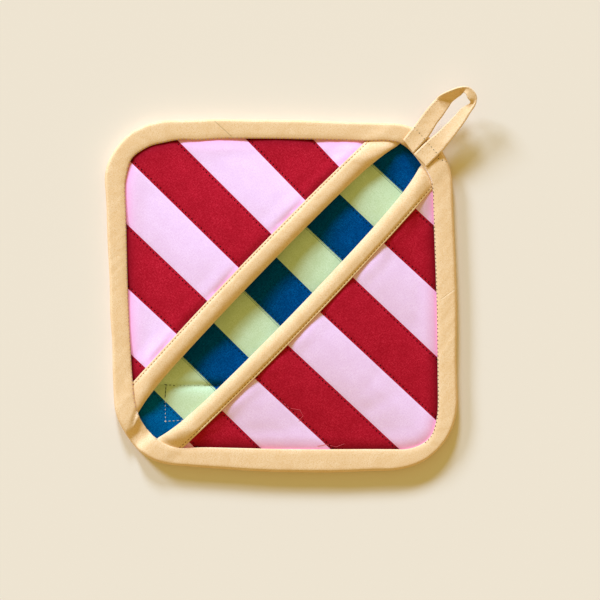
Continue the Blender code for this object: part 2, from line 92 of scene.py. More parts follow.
mouths = {
    "upper": {"sign": -1.0, "distance": 0.0190, "bow": 0.0024, "width": 0.0121},
    "lower": {"sign": 1.0, "distance": 0.0122, "bow": 0.0029, "width": 0.0115},
}
mouthShape = {"hook": 0.0035, "hookPower": 8, "turn": 1.0, "foldDepth": 0.0018, "ease": 0.0004,
              "endEase": 0.0013, "gape": {"upper": 0.0042, "lower": 0.0034}, "gapeReach": 0.072}

# Seams of the patchwork: place on the middle diagonal, turn in degrees
patchwork = {
    "base": {
        "colours": ["blue", "green"], "seed": 3.0,
        "seams": [(-0.0969, 0.3), (-0.0696, 0.5), (-0.0415, 0.2), (-0.0139, 0.5), (0.0145, 0.3),
                  (0.0415, 1.5), (0.0701, 1.4), (0.0979, 2.0)]},
    "upper": {
        "colours": ["red", "pink"], "seed": 11.0,
        "seams": [(-0.0899, 2.0), (-0.0616, 2.0), (-0.0340, 1.35), (-0.0063, 0.6), (0.0224, 0.0),
                  (0.0513, -0.9), (0.0803, -1.7)]},
    "lower": {
        "colours": ["pink", "red"], "seed": 19.0,
        "seams": [(-0.1046, 0.7), (-0.0763, 0.7), (-0.0487, 2.0), (-0.0197, 2.0), (0.0087, 2.0),
                  (0.0384, 1.6), (0.0664, 2.3), (0.0956, 2.3)]},
}


def smooth(x):
    x = np.clip(x, 0.0, 1.0)
    return x * x * (3.0 - 2.0 * x)


def mix(a, b, share):
    return a + (b - a) * share


def unit(degrees):
    return np.array([math.cos(math.radians(degrees)), math.sin(math.radians(degrees))])


def cross(a, b):
    return a[..., 0] * b[..., 1] - a[..., 1] * b[..., 0]


def aim(start, end):
    # the direction from one point to another, and the distance
    away = np.asarray(end) - np.asarray(start)
    length = np.linalg.norm(away)
    return away / length, length


def squareCorners():
    half = holder["side"] / 2
    signs = [(-1, -1), (1, -1), (1, 1), (-1, 1)]
    return [np.array([s[0] * half + p[0], s[1] * half + p[1]]) for s, p in zip(signs, holder["cornerPull"])]


def movedIn(corners, widths):
    lines = []
    for i, width in enumerate(widths):
        along = aim(corners[i], corners[(i + 1) % 4])[0]
        lines.append((corners[i] + np.array([-along[1], along[0]]) * width, along))
    points = []
    for i in range(4):
        (p, d), (q, e) = lines[i - 1], lines[i]
        points.append(p + d * cross(q - p, e) / cross(d, e))
    return points


def roundedRing(corners, radii, bows, bumps):
    arcs = []
    for i in range(4):
        back = aim(corners[i], corners[i - 1])[0]
        ahead = aim(corners[i], corners[(i + 1) % 4])[0]
        half = math.acos(np.clip(back @ ahead, -1, 1)) / 2
        middle = (back + ahead) / np.linalg.norm(back + ahead)
        centre = corners[i] + middle * radii[i] / math.sin(half)
        first = corners[i] + back * radii[i] / math.tan(half) - centre
        start, sweep = math.atan2(first[1], first[0]), math.pi - 2 * half
        angles = [start + sweep * k / holder["arcSteps"] for k in range(holder["arcSteps"] + 1)]
        arcs.append([centre + radii[i] * np.array([math.cos(a), math.sin(a)]) for a in angles])
    points = []
    for i in range(4):
        points += arcs[i]
        start, end = arcs[i][-1], arcs[(i + 1) % 4][0]
        along = aim(start, end)[0]
        outward = np.array([along[1], -along[0]])
        for k in range(1, holder["sideSteps"]):
            share = k / holder["sideSteps"]
            bow = bows[i] * (1 - math.cos(2 * math.pi * share)) / 2
            points.append(mix(start, end, share) + outward * bow)
    ring = np.array(points)
    tangent = np.roll(ring, -1, 0) - np.roll(ring, 1, 0)
    normal = np.stack([tangent[:, 1], -tangent[:, 0]], 1) / np.linalg.norm(tangent, axis=1)[:, None]
    for x, y, out, reach in bumps:
        ring = ring + normal * (out * np.exp(-((ring - (x, y)) ** 2).sum(1) / reach ** 2))[:, None]
    return ring


innerCorners = movedIn(squareCorners(), holder["tapeWidth"])
outerRing = roundedRing(squareCorners(), holder["cornerRadius"], holder["sideBow"], holder["outerBumps"])
innerRing = roundedRing(innerCorners, holder["innerRadius"], holder["innerBow"], holder["innerBumps"])
layerRing = mix(outerRing, innerRing, holder["layersEnd"])
halfBand = np.linalg.norm(innerCorners[0]) - holder["innerRadius"][0] * (math.sqrt(2) - 1)
mouthAlong, mouthAcross = unit(45 + mouthShape["turn"]), unit(-45 + mouthShape["turn"])


def depthInside(points, ring):
    # distance in from a ring, negative outside it
    ring = ring[::2]
    side = np.roll(ring, -1, 0) - ring
    lengths = (side ** 2).sum(1)
    found = np.empty(len(points))
    for first in range(0, len(points), 3000):
        away = points[first:first + 3000, None, :] - ring[None]
        share = np.clip((away * side).sum(2) / lengths, 0, 1)
        gap = np.sqrt(((away - side * share[..., None]) ** 2).sum(2))
        nearest = gap.argmin(1)
        rows = np.arange(len(nearest))
        sign = np.where(cross(side[nearest], away[rows, nearest]) >= 0, 1.0, -1.0)
        found[first:first + 3000] = gap[rows, nearest] * sign
    return found


def pastMouth(pocket, points):
    mouth = mouths[pocket]
    share = (points @ mouthAlong) / halfBand
    edge = mouth["distance"] - mouth["bow"] * share ** 2
    edge = edge - mouthShape["hook"] * np.minimum(share ** mouthShape["hookPower"], 1.0)
    return mouth["sign"] * (points @ mouthAcross) - edge


def fieldsAt(points):
    return {"points": points, "depth": depthInside(points, innerRing),
            "upper": pastMouth("upper", points), "lower": pastMouth("lower", points)}


# Heights of the layers, one on another, over any points

def swelling(at):
    return smooth(at["depth"] / layers["swell"])


def backBottom(at):
    return (layers["tape"] + layers["gap"]) * (1 - smooth(at["depth"] / layers["rimRise"]))


def baseBottom(at):
    return backBottom(at) + layers["cloth"]


def baseTop(at):
    fill = mix(layers["rimFill"], layers["baseFill"], swelling(at))
    return backBottom(at) + 2 * layers["cloth"] + 2 * layers["gap"] + fill


def gape(pocket, at):
    # how far the pocket stands open, least along the two sides it is sewn to
    height = mouthShape["gape"][pocket]
    for side in {"upper": (2, 3), "lower": (0, 1)}[pocket]:
        start = innerCorners[side]
        along = aim(start, innerCorners[(side + 1) % 4])[0]
        height = height * smooth(cross(along, at["points"] - start) / mouthShape["gapeReach"])
    return height


def shoulder(at, rise):
    # what turns the layers' stepped rise from the rim into one round shoulder
    depth = at["depth"]
    stepped = (layers["tape"] + layers["gap"]) * -smooth(depth / layers["rimRise"]) + rise * swelling(at)
    full = rise - layers["tape"] - layers["gap"]
    near = 1 - (1 - np.clip(depth / layers["shoulder"], 0, 1)) ** layers["shoulderPower"]
    return full * mix(near, smooth(depth / layers["wideShoulder"]), layers["wideShare"]) - stepped


def mouthEase(at):
    return mix(mouthShape["endEase"], mouthShape["ease"], smooth(at["depth"] / (2 * layers["swell"])))


def pocketBottom(pocket, at):
    near = 1 - smooth((at[pocket] - mouths[pocket]["width"]) / layers["swell"])
    lift = (layers["tape"] + mouthEase(at)) * near * smooth(at["depth"] / layers["rimRise"])
    return baseTop(at) + layers["gap"] + gape(pocket, at) + lift


def pocketTop(pocket, at):
    fromMouth = smooth((at[pocket] - mouths[pocket]["width"]) / layers["swell"])
    fill = mix(layers["rimFill"], mix(layers["mouthFill"], layers["pocketFill"], fromMouth), swelling(at))
    return pocketBottom(pocket, at) + 2 * layers["cloth"] + 2 * layers["gap"] + fill


print("outlines ready")


# Meshes

def makePiece(name, vertices, faces, uvs=None, material=None, tapeShade=None):
    mesh = bpy.data.meshes.new(name)
    mesh.from_pydata(np.asarray(vertices).tolist(), [], faces)
    if uvs is not None:
        layer = mesh.uv_layers.new(name="cloth")
        index = np.empty(len(mesh.loops), dtype=np.int32)
        mesh.loops.foreach_get("vertex_index", index)
        layer.data.foreach_set("uv", np.asarray(uvs)[index].ravel())
    # painted shade: the share of each point's colour that turns to the cloth's shaded colour beside a tape
    if tapeShade is not None:
        values = np.ascontiguousarray(tapeShade, dtype=np.float32)
        mesh.attributes.new("tapeShade", "FLOAT", "POINT").data.foreach_set("value", values)
    mesh.shade_smooth()
    piece = bpy.data.objects.new(name, mesh)
    bpy.context.scene.collection.objects.link(piece)
    if material is not None:
        mesh.materials.append(material)
    return piece


def treeOf(piece):
    faces = [tuple(face.vertices) for face in piece.data.polygons]
    return BVHTree.FromPolygons([v.co[:] for v in piece.data.vertices], faces)


def signedVolume(vertices, faces):
    vertices = np.asarray(vertices)
    total = 0.0
    for size in {len(face) for face in faces}:
        some = np.array([face for face in faces if len(face) == size])
        for j in range(1, size - 1):
            a, b, c = vertices[some[:, 0]], vertices[some[:, j]], vertices[some[:, j + 1]]
            total += (a * np.cross(b, c)).sum()
    return total


def outwards(vertices, faces):
    return faces if signedVolume(vertices, faces) > 0 else [face[::-1] for face in faces]


def slabMesh(name, xy, low, high, uv, material, tapeShade=None):
    # a closed sheet over a grid of columns and rows
    columns, rows = xy.shape[:2]
    count = columns * rows
    vertices = np.concatenate([np.dstack([xy, level]).reshape(-1, 3) for level in (low, high)])
    uvs = np.concatenate([uv.reshape(-1, 2)] * 2)
    index = np.arange(count).reshape(columns, rows)
    a, b, c, d = index[:-1, :-1], index[1:, :-1], index[1:, 1:], index[:-1, 1:]
    top = np.stack([a, b, c, d], -1).reshape(-1, 4) + count
    bottom = np.stack([a, d, c, b], -1).reshape(-1, 4)
    rim = np.concatenate([index[:-1, 0], index[-1, :-1], index[:0:-1, -1], index[0, :0:-1]])
    after = np.roll(rim, -1)
    walls = np.stack([rim, after, after + count, rim + count], -1)
    faces = np.concatenate([top, bottom, walls]).tolist()
    both = None if tapeShade is None else np.concatenate([tapeShade.ravel()] * 2)
    piece = makePiece(name, vertices, outwards(vertices, faces), uvs, material, both)
    piece.data.set_sharp_from_angle(angle=math.radians(50))
    return piece


def tubeMesh(name, rings, closed, uv, material):
    # rings of the same number of points, joined one to the next
    count, size = rings.shape[:2]
    index = np.arange(count * size).reshape(count, size)
    after = np.roll(index, -1, 0) if closed else index[1:]
    before = index if closed else index[:-1]
    a, b = before, np.roll(before, -1, 1)
    c, d = np.roll(after, -1, 1), after
    faces = np.stack([a, d, c, b], -1).reshape(-1, 4).tolist()
    if not closed:
        faces += [index[0].tolist(), index[-1][::-1].tolist()]
    vertices = rings.reshape(-1, 3)
    return makePiece(name, vertices, outwards(vertices, faces), uv.reshape(-1, 2), material)


# Materials

def addNode(tree, kind, given=None, **settings):
    # a node with its settings, and its sockets filled with values or linked
    node = tree.nodes.new(kind)
    for name, value in settings.items():
        setattr(node, name, value)
    for socket, value in (given or {}).items():
        if isinstance(value, bpy.types.NodeSocket):
            tree.links.new(value, node.inputs[socket])
        else:
            node.inputs[socket].default_value = value
    return node


def math2(tree, operation, first, second=None, clamp=False):
    given = {k: value for k, value in enumerate((first, second)) if value is not None}
    return addNode(tree, "ShaderNodeMath", given, operation=operation, use_clamp=clamp).outputs[0]


def mixColour(tree, share, first, second):
    first, second = ((*c, 1.0) if isinstance(c, tuple) else c for c in (first, second))
    given = {0: share, 6: first, 7: second}
    return addNode(tree, "ShaderNodeMix", given, data_type="RGBA", blend_type="MIX").outputs[2]


def ramp(tree, value, limits):
    names = ("From Min", "From Max", "To Min", "To Max")
    return addNode(tree, "ShaderNodeMapRange", {"Value": value, **dict(zip(names, limits))}).outputs[0]


def softNoise(tree, place, scale, detail):
    given = {"Vector": place, "Scale": scale, "Detail": detail}
    return addNode(tree, "ShaderNodeTexNoise", given, noise_dimensions="2D").outputs[0]


def linear(*colour):
    shares = [c / 255 for c in colour]
    return tuple(c / 12.92 if c <= 0.04045 else ((c + 0.055) / 1.055) ** 2.4 for c in shares)


def newMaterial(name, roughness, shine):
    made = bpy.data.materials.new(name)
    made.use_nodes = True
    shader = made.node_tree.nodes["Principled BSDF"]
    shader.inputs["Roughness"].default_value = roughness
    shader.inputs["Specular IOR Level"].default_value = shine
    return made, shader


def plainMaterial(name, colour, roughness, shine):
    made, shader = newMaterial(name, roughness, shine)
    shader.inputs["Base Color"].default_value = (*linear(*colour), 1)
    return made


weave = {
    "pitch": 0.00050, "bump": 0.00005, "bumpStrength": 0.7, "roughness": 0.88, "shine": 0.08,
    "slubLong": 0.0030, "slubShort": 0.0005, "shake": 3.0, "haze": 0.009, "fleck": 0.0008,
    # from low, from high, share there and share there
    "darkGrain": (0.36, 0.50, 0.9, 0.0), "lightGrain": (0.50, 0.66, 0.0, 0.9),
    "hazeShade": (0.35, 0.65, 0.0, 0.35),
    "threadRelief": 0.5, "slubRelief": 1.6, "joinRelief": 3.0, "joinDark": 0.45,
}

# each cotton's middle colour, its dark and light threads, and its painted shade colour: darker and more
# saturated, painted beside the edge tape and the mouth tapes where shade falls on the cloth
cottons = {
    "blue": {"colours": [(2, 72, 130), (0, 52, 100), (4, 96, 158), (0, 38, 78)], "shine": 0.0},
    "paleBlue": {"colours": [(3, 92, 146), (0, 68, 116), (8, 118, 172), (0, 48, 84)], "shine": 0.0},
    "green": {"colours": [(203, 225, 180), (190, 213, 160), (214, 233, 196), (176, 202, 142)]},
    "red": {"colours": [(182, 20, 42), (158, 8, 28), (204, 44, 62), (112, 2, 18)]},
    "pink": {"colours": [(246, 211, 243), (238, 200, 234), (252, 222, 249), (255, 168, 216)]},
    "tape": {"colours": [(243, 208, 158), (232, 190, 132), (250, 220, 178)], "turn": 45},
    "wadding": {"colours": [(236, 232, 220), (220, 214, 200), (246, 244, 236)]},
}


def drawJoins(tree, joins, shades, colour, height):
    # short straight marks where two lengths of tape meet
    flat = addNode(tree, "ShaderNodeTexCoord")
    place = addNode(tree, "ShaderNodeSeparateXYZ", {0: flat.outputs["Object"]})
    for start, end, wide, shade in joins:
        along, length = aim(start, end)
        half = float(length) / 2
        away = [math2(tree, "SUBTRACT", place.outputs[k], start[k]) for k in (0, 1)]

        def toward(x, y):
            parts = [math2(tree, "MULTIPLY", a, float(share)) for a, share in zip(away, (x, y))]
            return math2(tree, "ADD", *parts)
        off = math2(tree, "ABSOLUTE", toward(-along[1], along[0]))
        run = math2(tree, "SUBTRACT", toward(*along), half)
        near = math2(tree, "SUBTRACT", 1.0, math2(tree, "DIVIDE", off, wide), True)
        past = math2(tree, "SUBTRACT", math2(tree, "ABSOLUTE", run), half)
        mark = math2(tree, "MULTIPLY", near, math2(tree, "LESS_THAN", past, 0.0))
        ink = tuple(c * weave["joinDark"] for c in shades["dark"]) if shade > 0 else shades["light"]
        colour = mixColour(tree, math2(tree, "MULTIPLY", mark, abs(shade)), colour, ink)
        height = math2(tree, "SUBTRACT", height, math2(tree, "MULTIPLY", mark, weave["joinRelief"]))
    return colour, height


def clothMaterial(name, cotton, joins=()):
    # plain weave on the piece's own UV map, in metres, with uneven threads and a soft nap
    made, shader = newMaterial(name, weave["roughness"], cotton.get("shine", weave["shine"]))
    tree = made.node_tree
    shades = dict(zip(("main", "dark", "light", "shaded"), (linear(*c) for c in cotton["colours"])))
    uv = addNode(tree, "ShaderNodeUVMap", uv_map="cloth").outputs[0]
    turn = (0, 0, math.radians(cotton.get("turn", 0)))
    turned = addNode(tree, "ShaderNodeMapping", {"Vector": uv, "Rotation": turn}).outputs[0]
    split = addNode(tree, "ShaderNodeSeparateXYZ", {0: turned})
    waves, slubs = [], []
    long, short = 1 / weave["slubLong"], 1 / weave["slubShort"]
    for axis, size in enumerate(((long, short, 1), (short, long, 1))):
        scaled = addNode(tree, "ShaderNodeMapping", {"Vector": turned, "Scale": size}).outputs[0]
        slubs.append(softNoise(tree, scaled, 1.0, 2.0))
        phase = math2(tree, "MULTIPLY", split.outputs[1 - axis], 2 * math.pi / weave["pitch"])
        shaken = math2(tree, "ADD", phase, math2(tree, "MULTIPLY", slubs[-1], weave["shake"]))
        waves.append(math2(tree, "SINE", shaken))
    both = math2(tree, "MULTIPLY", math2(tree, "ADD", *slubs), 0.5)
    haze = softNoise(tree, uv, 1 / weave["haze"], 3.0)
    fleck = softNoise(tree, uv, 1 / weave["fleck"], 2.0)
    grain = math2(tree, "MULTIPLY", math2(tree, "ADD", both, fleck), 0.5)
    colour = mixColour(tree, ramp(tree, grain, weave["darkGrain"]), shades["main"], shades["dark"])
    colour = mixColour(tree, ramp(tree, grain, weave["lightGrain"]), colour, shades["light"])
    colour = mixColour(tree, ramp(tree, haze, weave["hazeShade"]), colour, shades["dark"])
    # painted shade: the cloth turns towards its darker, more saturated shade colour beside the tapes, by the
    # share stored on the mesh
    if "shaded" in shades:
        tapeShade = addNode(tree, "ShaderNodeAttribute", attribute_name="tapeShade")
        colour = mixColour(tree, tapeShade.outputs["Fac"], colour, shades["shaded"])
    relief = math2(tree, "MULTIPLY", math2(tree, "MULTIPLY", *waves), weave["threadRelief"])
    height = math2(tree, "ADD", relief, math2(tree, "MULTIPLY", both, weave["slubRelief"]))
    if joins:
        colour, height = drawJoins(tree, joins, shades, colour, height)
    given = {"Strength": weave["bumpStrength"], "Distance": weave["bump"], "Height": height}
    bump = addNode(tree, "ShaderNodeBump", given)
    tree.links.new(colour, shader.inputs["Base Color"])
    tree.links.new(bump.outputs[0], shader.inputs["Normal"])
    return made


# joins in the edge tape: from, to, half width, how dark
tapeJoins = [((-0.0416, 0.1078), (-0.0308, 0.0981), 0.00045, 0.55),
             ((0.1070, 0.0043), (0.0981, -0.0022), 0.0005, -0.8),
             ((0.0895, 0.0797), (0.0978, 0.0880), 0.0005, 0.75)]
stripCottons = ("blue", "paleBlue", "green", "red", "pink")
cloths = {name: clothMaterial(name + "Cotton", cottons[name]) for name in stripCottons}
cloths["tape"] = clothMaterial("tanTapeCotton", cottons["tape"])
cloths["edgeTape"] = clothMaterial("tanEdgeTapeCotton", cottons["tape"], tapeJoins)
cloths["wadding"] = clothMaterial("paleWadding", cottons["wadding"])

threadColours = {
    "darkRed": (24, 2, 8), "brown": (150, 98, 40), "plum": (92, 52, 50), "lilac": (176, 120, 150),
    "navy": (2, 40, 70), "pale": (228, 214, 190), "teal": (30, 104, 96), "grey": (46, 62, 58),
    "palePink": (252, 236, 238), "blue": (6, 98, 150), "red": (228, 96, 106),
}
threads = {name: plainMaterial(name + "Thread", colour, 0.85, 0.08) for name, colour in threadColours.items()}
print("materials ready")


# Panels: columns run along the stripes, rows across them

def crossing(start, along, ring, last=True):
    side = np.roll(ring, -1, 0) - ring
    scale = cross(np.broadcast_to(along, side.shape), side)
    scale = np.where(np.abs(scale) < 1e-12, 1e-12, scale)
    share = cross(ring - start, np.broadcast_to(along, side.shape)) / scale
    reach = cross(ring - start, side) / scale
    hits = reach[(share >= 0) & (share < 1)]
    return 0.0 if not len(hits) else float(hits.max() if last else hits.min())


def stripeLine(panel, across):
    # where a column crosses the middle diagonal, and its direction
    seams = patchwork[panel]["seams"]
    turn = float(np.interp(across, [seam[0] for seam in seams], [seam[1] for seam in seams]))
    return unit(45) * across, unit(-45 + turn) * (mouths[panel]["sign"] if panel in mouths else 1.0)


def columnEnds(panel, across):
    # where a column starts and stops
    middle, along = stripeLine(panel, across)
    if panel == "base":
        first, last = (crossing(middle, along, layerRing, far) for far in (False, True))
        return middle + along * first, middle + along * last
    start = middle
    for _ in range(8):
        start = start - along * (pastMouth(panel, start[None])[0] - mouthShape["foldDepth"])
    return start, start + along * max(crossing(start, along, layerRing), 0.0)


def panelEnd(panel, sign):
    # the last column that still has any length
    low, high = 0.0, holder["side"]
    for _ in range(30):
        middle = (low + high) / 2
        start, end = columnEnds(panel, sign * middle)
        if (end - start) @ stripeLine(panel, sign * middle)[1] > 0.005:
            low = middle
        else:
            high = middle
    return sign * low


seamSteps = [0.00001, 0.0004, 0.0009, 0.0015, 0.0022, 0.0032]


def stripColumns(low, high, step):
    edge = [s for s in seamSteps if s < (high - low) * 0.45]
    count = max(int((high - low - 2 * edge[-1]) / step), 1)
    middle = np.linspace(low + edge[-1], high - edge[-1], count + 1)[1:-1]
    return np.concatenate([low + np.array(edge), middle, high - np.array(edge[::-1])])


def panelGrid(panel, columns, rows):
    # xy of every point, with its place across and along the stripes
    xy = np.empty((len(columns), rows, 2))
    uv = np.empty((len(columns), rows, 2))
    shares = np.linspace(0, 1, rows)
    for i, across in enumerate(columns):
        start, end = columnEnds(panel, across)
        xy[i] = start + (end - start) * shares[:, None]
        uv[i, :, 0] = across
        uv[i, :, 1] = xy[i] @ unit(-45)
    return xy, uv


def overGrid(xy, height):
    at = fieldsAt(xy.reshape(-1, 2))
    return height(at).reshape(xy.shape[:2])


# The wadding swells between its seams. It is simulated as a thin closed cushion, held along its
# seams, its mouth and its rim, and how far it moves is then read at every point of the cloth.
quiltSwell = {"step": 0.0032, "pressure": 2.2, "extra": 0.0003, "frames": 20, "cap": 0.0009,
              "stiffness": 10.0, "bending": 3.0, "mass": 0.2, "quality": 6, "heldRim": 0.003,
              "heldMouth": 0.001, "heldSeam": 0.0002}


def swellCloth(piece):
    cloth = piece.modifiers.new("swell", "CLOTH")
    stiff = quiltSwell["stiffness"]
    given = {
        "vertex_group_mass": "sewn", "quality": quiltSwell["quality"], "mass": quiltSwell["mass"],
        "tension_stiffness": stiff, "compression_stiffness": stiff, "shear_stiffness": stiff / 2,
        "bending_stiffness": quiltSwell["bending"], "shrink_min": -quiltSwell["extra"],
        "use_pressure": True, "uniform_pressure_force": quiltSwell["pressure"],
    }
    for name, value in given.items():
        setattr(cloth.settings, name, value)
    cloth.settings.effector_weights.gravity = 0.0
    cloth.collision_settings.use_collision = False
    cloth.collision_settings.use_self_collision = False
    cloth.point_cache.frame_start, cloth.point_cache.frame_end = 1, quiltSwell["frames"]
    for number in range(1, quiltSwell["frames"] + 1):
        bpy.context.scene.frame_set(number)
    bpy.context.view_layer.objects.active = piece
    with bpy.context.temp_override(object=piece, active_object=piece):
        bpy.ops.object.modifier_apply(modifier="swell")
    bpy.context.scene.frame_set(1)


def pointsOf(piece):
    points = np.empty(len(piece.data.vertices) * 3)
    piece.data.vertices.foreach_get("co", points)
    return points


def simulateQuilt(panel, edges, low, high):
    columns = []
    for k in range(len(edges) - 1):
        count = max(int(round((edges[k + 1] - edges[k]) / quiltSwell["step"])), 2)
        columns += list(np.linspace(edges[k], edges[k + 1], count + 1)[(0 if k == 0 else 1):])
    columns = np.array(columns)
    start, end = columnEnds(panel, columns[len(columns) // 2])
    rows = int(np.linalg.norm(end - start) / quiltSwell["step"])
    xy, uv = panelGrid(panel, columns, rows)
    at = fieldsAt(xy.reshape(-1, 2))
    levels = [height(at).reshape(xy.shape[:2]) for height in (low, high)]
    piece = slabMesh(panel + "Swelling", xy, *levels, uv, None)
    held = at["depth"] < quiltSwell["heldRim"]
    for seam in edges:
        held |= np.abs(uv[..., 0].ravel() - seam) < quiltSwell["heldSeam"]
    if panel != "base":
        held |= at[panel] < mouths[panel]["width"] + quiltSwell["heldMouth"]
    group = piece.vertex_groups.new(name="sewn")
    group.add([int(i) for i in np.nonzero(np.concatenate([held, held]))[0]], 1.0, "REPLACE")
    before = pointsOf(piece)
    swellCloth(piece)
    moved = (pointsOf(piece) - before).reshape(2, *xy.shape[:2], 3)
    moved = quiltSwell["cap"] * np.tanh(moved / quiltSwell["cap"])
    bpy.data.objects.remove(piece, do_unlink=True)
    up = np.percentile(moved[1, ..., 2], [50, 100]) * 1000
    print(f"{panel} quilt swelled by {up[0]:.2f} mm at its middle places, {up[1]:.2f} mm at its highest")
    return {"columns": columns, "moved": moved}


def cubicRows(values, places):
    # smooth reading of a table's first axis at fractional places
    count = values.shape[0]
    places = np.clip(places, 0, count - 1)
    i = np.minimum(places.astype(int), count - 2)
    t = (places - i).reshape(-1, *([1] * (values.ndim - 1)))
    p0, p1, p2, p3 = (values[np.clip(i + k, 0, count - 1)] for k in (-1, 0, 1, 2))
    square, cube = 2 * p0 - 5 * p1 + 4 * p2 - p3, 3 * p1 - p0 - 3 * p2 + p3
    return 0.5 * (2 * p1 + (p2 - p0) * t + square * t ** 2 + cube * t ** 3)


def movedAt(swell, level, columns, rows):
    table = swell["moved"][level, ..., 2]
    places = np.interp(columns, swell["columns"], np.arange(len(swell["columns"])))
    across = cubicRows(table, places)
    return cubicRows(across.T, np.linspace(0, table.shape[1] - 1, rows)).T


quilting = {
    "columnStep": 0.0014, "rowStep": 0.0016, "pucker": 0.00005, "puckerLong": 0.014, "puckerShort": 0.006,
    "puckerShare": 0.5,
    # the row of stitches and the seam, and how the cloth rounds between two seams
    "row": 0.0014, "dip": 0.00030, "dipReach": 0.0008, "seam": 0.00020, "seamReach": 0.0009, "round": 0.7,
    "roundShare": 0.42, "widest": 0.032,
    # beside the tape of a pocket's free edge, and where the base goes under a pocket
    "besideTape": 0.0007, "besideShare": {"upper": 1.0, "lower": 0.35}, "besideReach": 0.0026,
    "underTape": 0.0004, "tapeFade": 0.004, "riseFade": 0.010, "tapeMargin": 0.001,
    "tapeEdge": 0.0002, "bandMargin": 0.003, "bandFade": 0.005, "underPocket": 0.012,
    # the wadding below: what the cloth's swell and crease leave of it, and its gaps
    "lowerSwell": 0.5, "creaseShare": 0.5, "spare": 0.0001, "clothGap": 0.00005, "waddingGap": 0.0003,
}

# how much of the painted shade colour shows beside the edge tape and beside each mouth tape, where shade
# falls on the cloth
tapeShading = {"rimReach": 0.0030, "mouthReach": 0.0018, "base": 0.3, "upper": 0.8, "lower": 0.24}


def quiltedHeight(columns, edges, k, quiltedRows):
    # the pillow of one strip and its sewn lines, the same along the whole strip
    low, high = edges[k], edges[k + 1]
    width = min(high - low, quilting["widest"])
    fromLow = np.abs(columns - low) if k > 0 else np.full(len(columns), 1.0)
    fromHigh = np.abs(columns - high) if k < len(edges) - 2 else np.full(len(columns), 1.0)
    nearest = np.minimum(fromLow, fromHigh)
    drop = layers["seamDrop"] * (1 - smooth(nearest / (width * quilting["roundShare"])) ** quilting["round"])
    drop = drop + quilting["seam"] * np.exp(-(nearest / quilting["seamReach"]) ** 2)
    if quiltedRows:
        drop = drop + quilting["dip"] * np.exp(-((nearest - quilting["row"]) / quilting["dipReach"]) ** 2)
    return -drop


def puckers(xy, size, seed):
    # slow unevenness of pressed cotton
    def wave(p, reach, start):
        return noise.noise(Vector((p[0] / reach, p[1] / reach, start)))
    long, short, share = (quilting[name] for name in ("puckerLong", "puckerShort", "puckerShare"))
    values = [wave(p, long, seed) + share * wave(p, short, seed + 7) for p in xy.reshape(-1, 2)]
    return size * np.array(values).reshape(xy.shape[:2])


# a valley pressed into the base: from, to, depth, reach
creases = [((-0.0790, -0.0552), (-0.0352, -0.0555), 0.0024, 0.0036)]
creaseShape = {"fade": 0.004, "steep": 1.6}


def creaseDrop(xy):
    total = np.zeros(xy.shape[:2])
    for start, end, depth, reach in creases:
        along, length = aim(start, end)
        away = xy - np.array(start)
        off = np.abs(cross(np.broadcast_to(along, away.shape), away))
        run = away @ along
        fade = creaseShape["fade"]
        ends = smooth((run + fade) / (2 * fade)) * smooth((length - run + fade) / (2 * fade))
        total += depth * ends * np.exp(-off / reach * creaseShape["steep"])
    return total


# the cloth of each panel, for the rows of thread that are laid on it
topTrees = {}


def keep(piece, nodes):
    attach(piece, "root")
    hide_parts(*nodes)
    return piece


def stripRise(panel, edges, k, columns, xy, at, swell):
    # what the swelling, the sewn lines and the tapes add to the layers' plain height
    shape = xy.shape[:2]
    quiltedRows = patchwork[panel]["colours"][k % 2] in ("red", "blue")
    loose = movedAt(swell, 1, columns, shape[1]) + puckers(xy, quilting["pucker"], patchwork[panel]["seed"])
    loose = loose + quiltedHeight(columns, edges, k, quiltedRows)[:, None]
    rise = layers["baseFill"] - layers["rimFill"]
    if panel == "base":
        covered = np.maximum(at["upper"], at["lower"]).reshape(shape)
        bare = smooth((quilting["bandMargin"] - covered) / quilting["bandFade"])
        return loose + shoulder(at, rise).reshape(shape) * bare - creaseDrop(xy)
    rise = rise + layers["pocketFill"] - layers["rimFill"]
    fromTape = (at[panel] - mouths[panel]["width"]).reshape(shape)
    margin = quilting["tapeMargin"]
    loose = loose * smooth((fromTape + margin) / quilting["tapeFade"])
    beside = quilting["besideTape"] * quilting["besideShare"][panel]
    beside = beside * np.exp(-(fromTape / quilting["besideReach"]) ** 2)
    loose = loose - beside * (fromTape > -quilting["tapeEdge"])
    loose = loose - quilting["underTape"] * smooth(-fromTape / margin)
    return loose + shoulder(at, rise).reshape(shape) * smooth((fromTape + margin) / quilting["riseFade"])


# painted shade, strongest next to the edge tape and the mouth tape and fading away from them
def stripTapeShade(panel, at, shape):
    tapeShade = np.exp(-np.maximum(at["depth"], 0) / tapeShading["rimReach"])
    if panel == "base":
        return (tapeShade * tapeShading["base"]).reshape(shape)
    fromTape = np.maximum(at[panel] - mouths[panel]["width"], 0)
    return np.maximum(tapeShade, tapeShading[panel] * np.exp(-fromTape / tapeShading["mouthReach"])).reshape(shape)


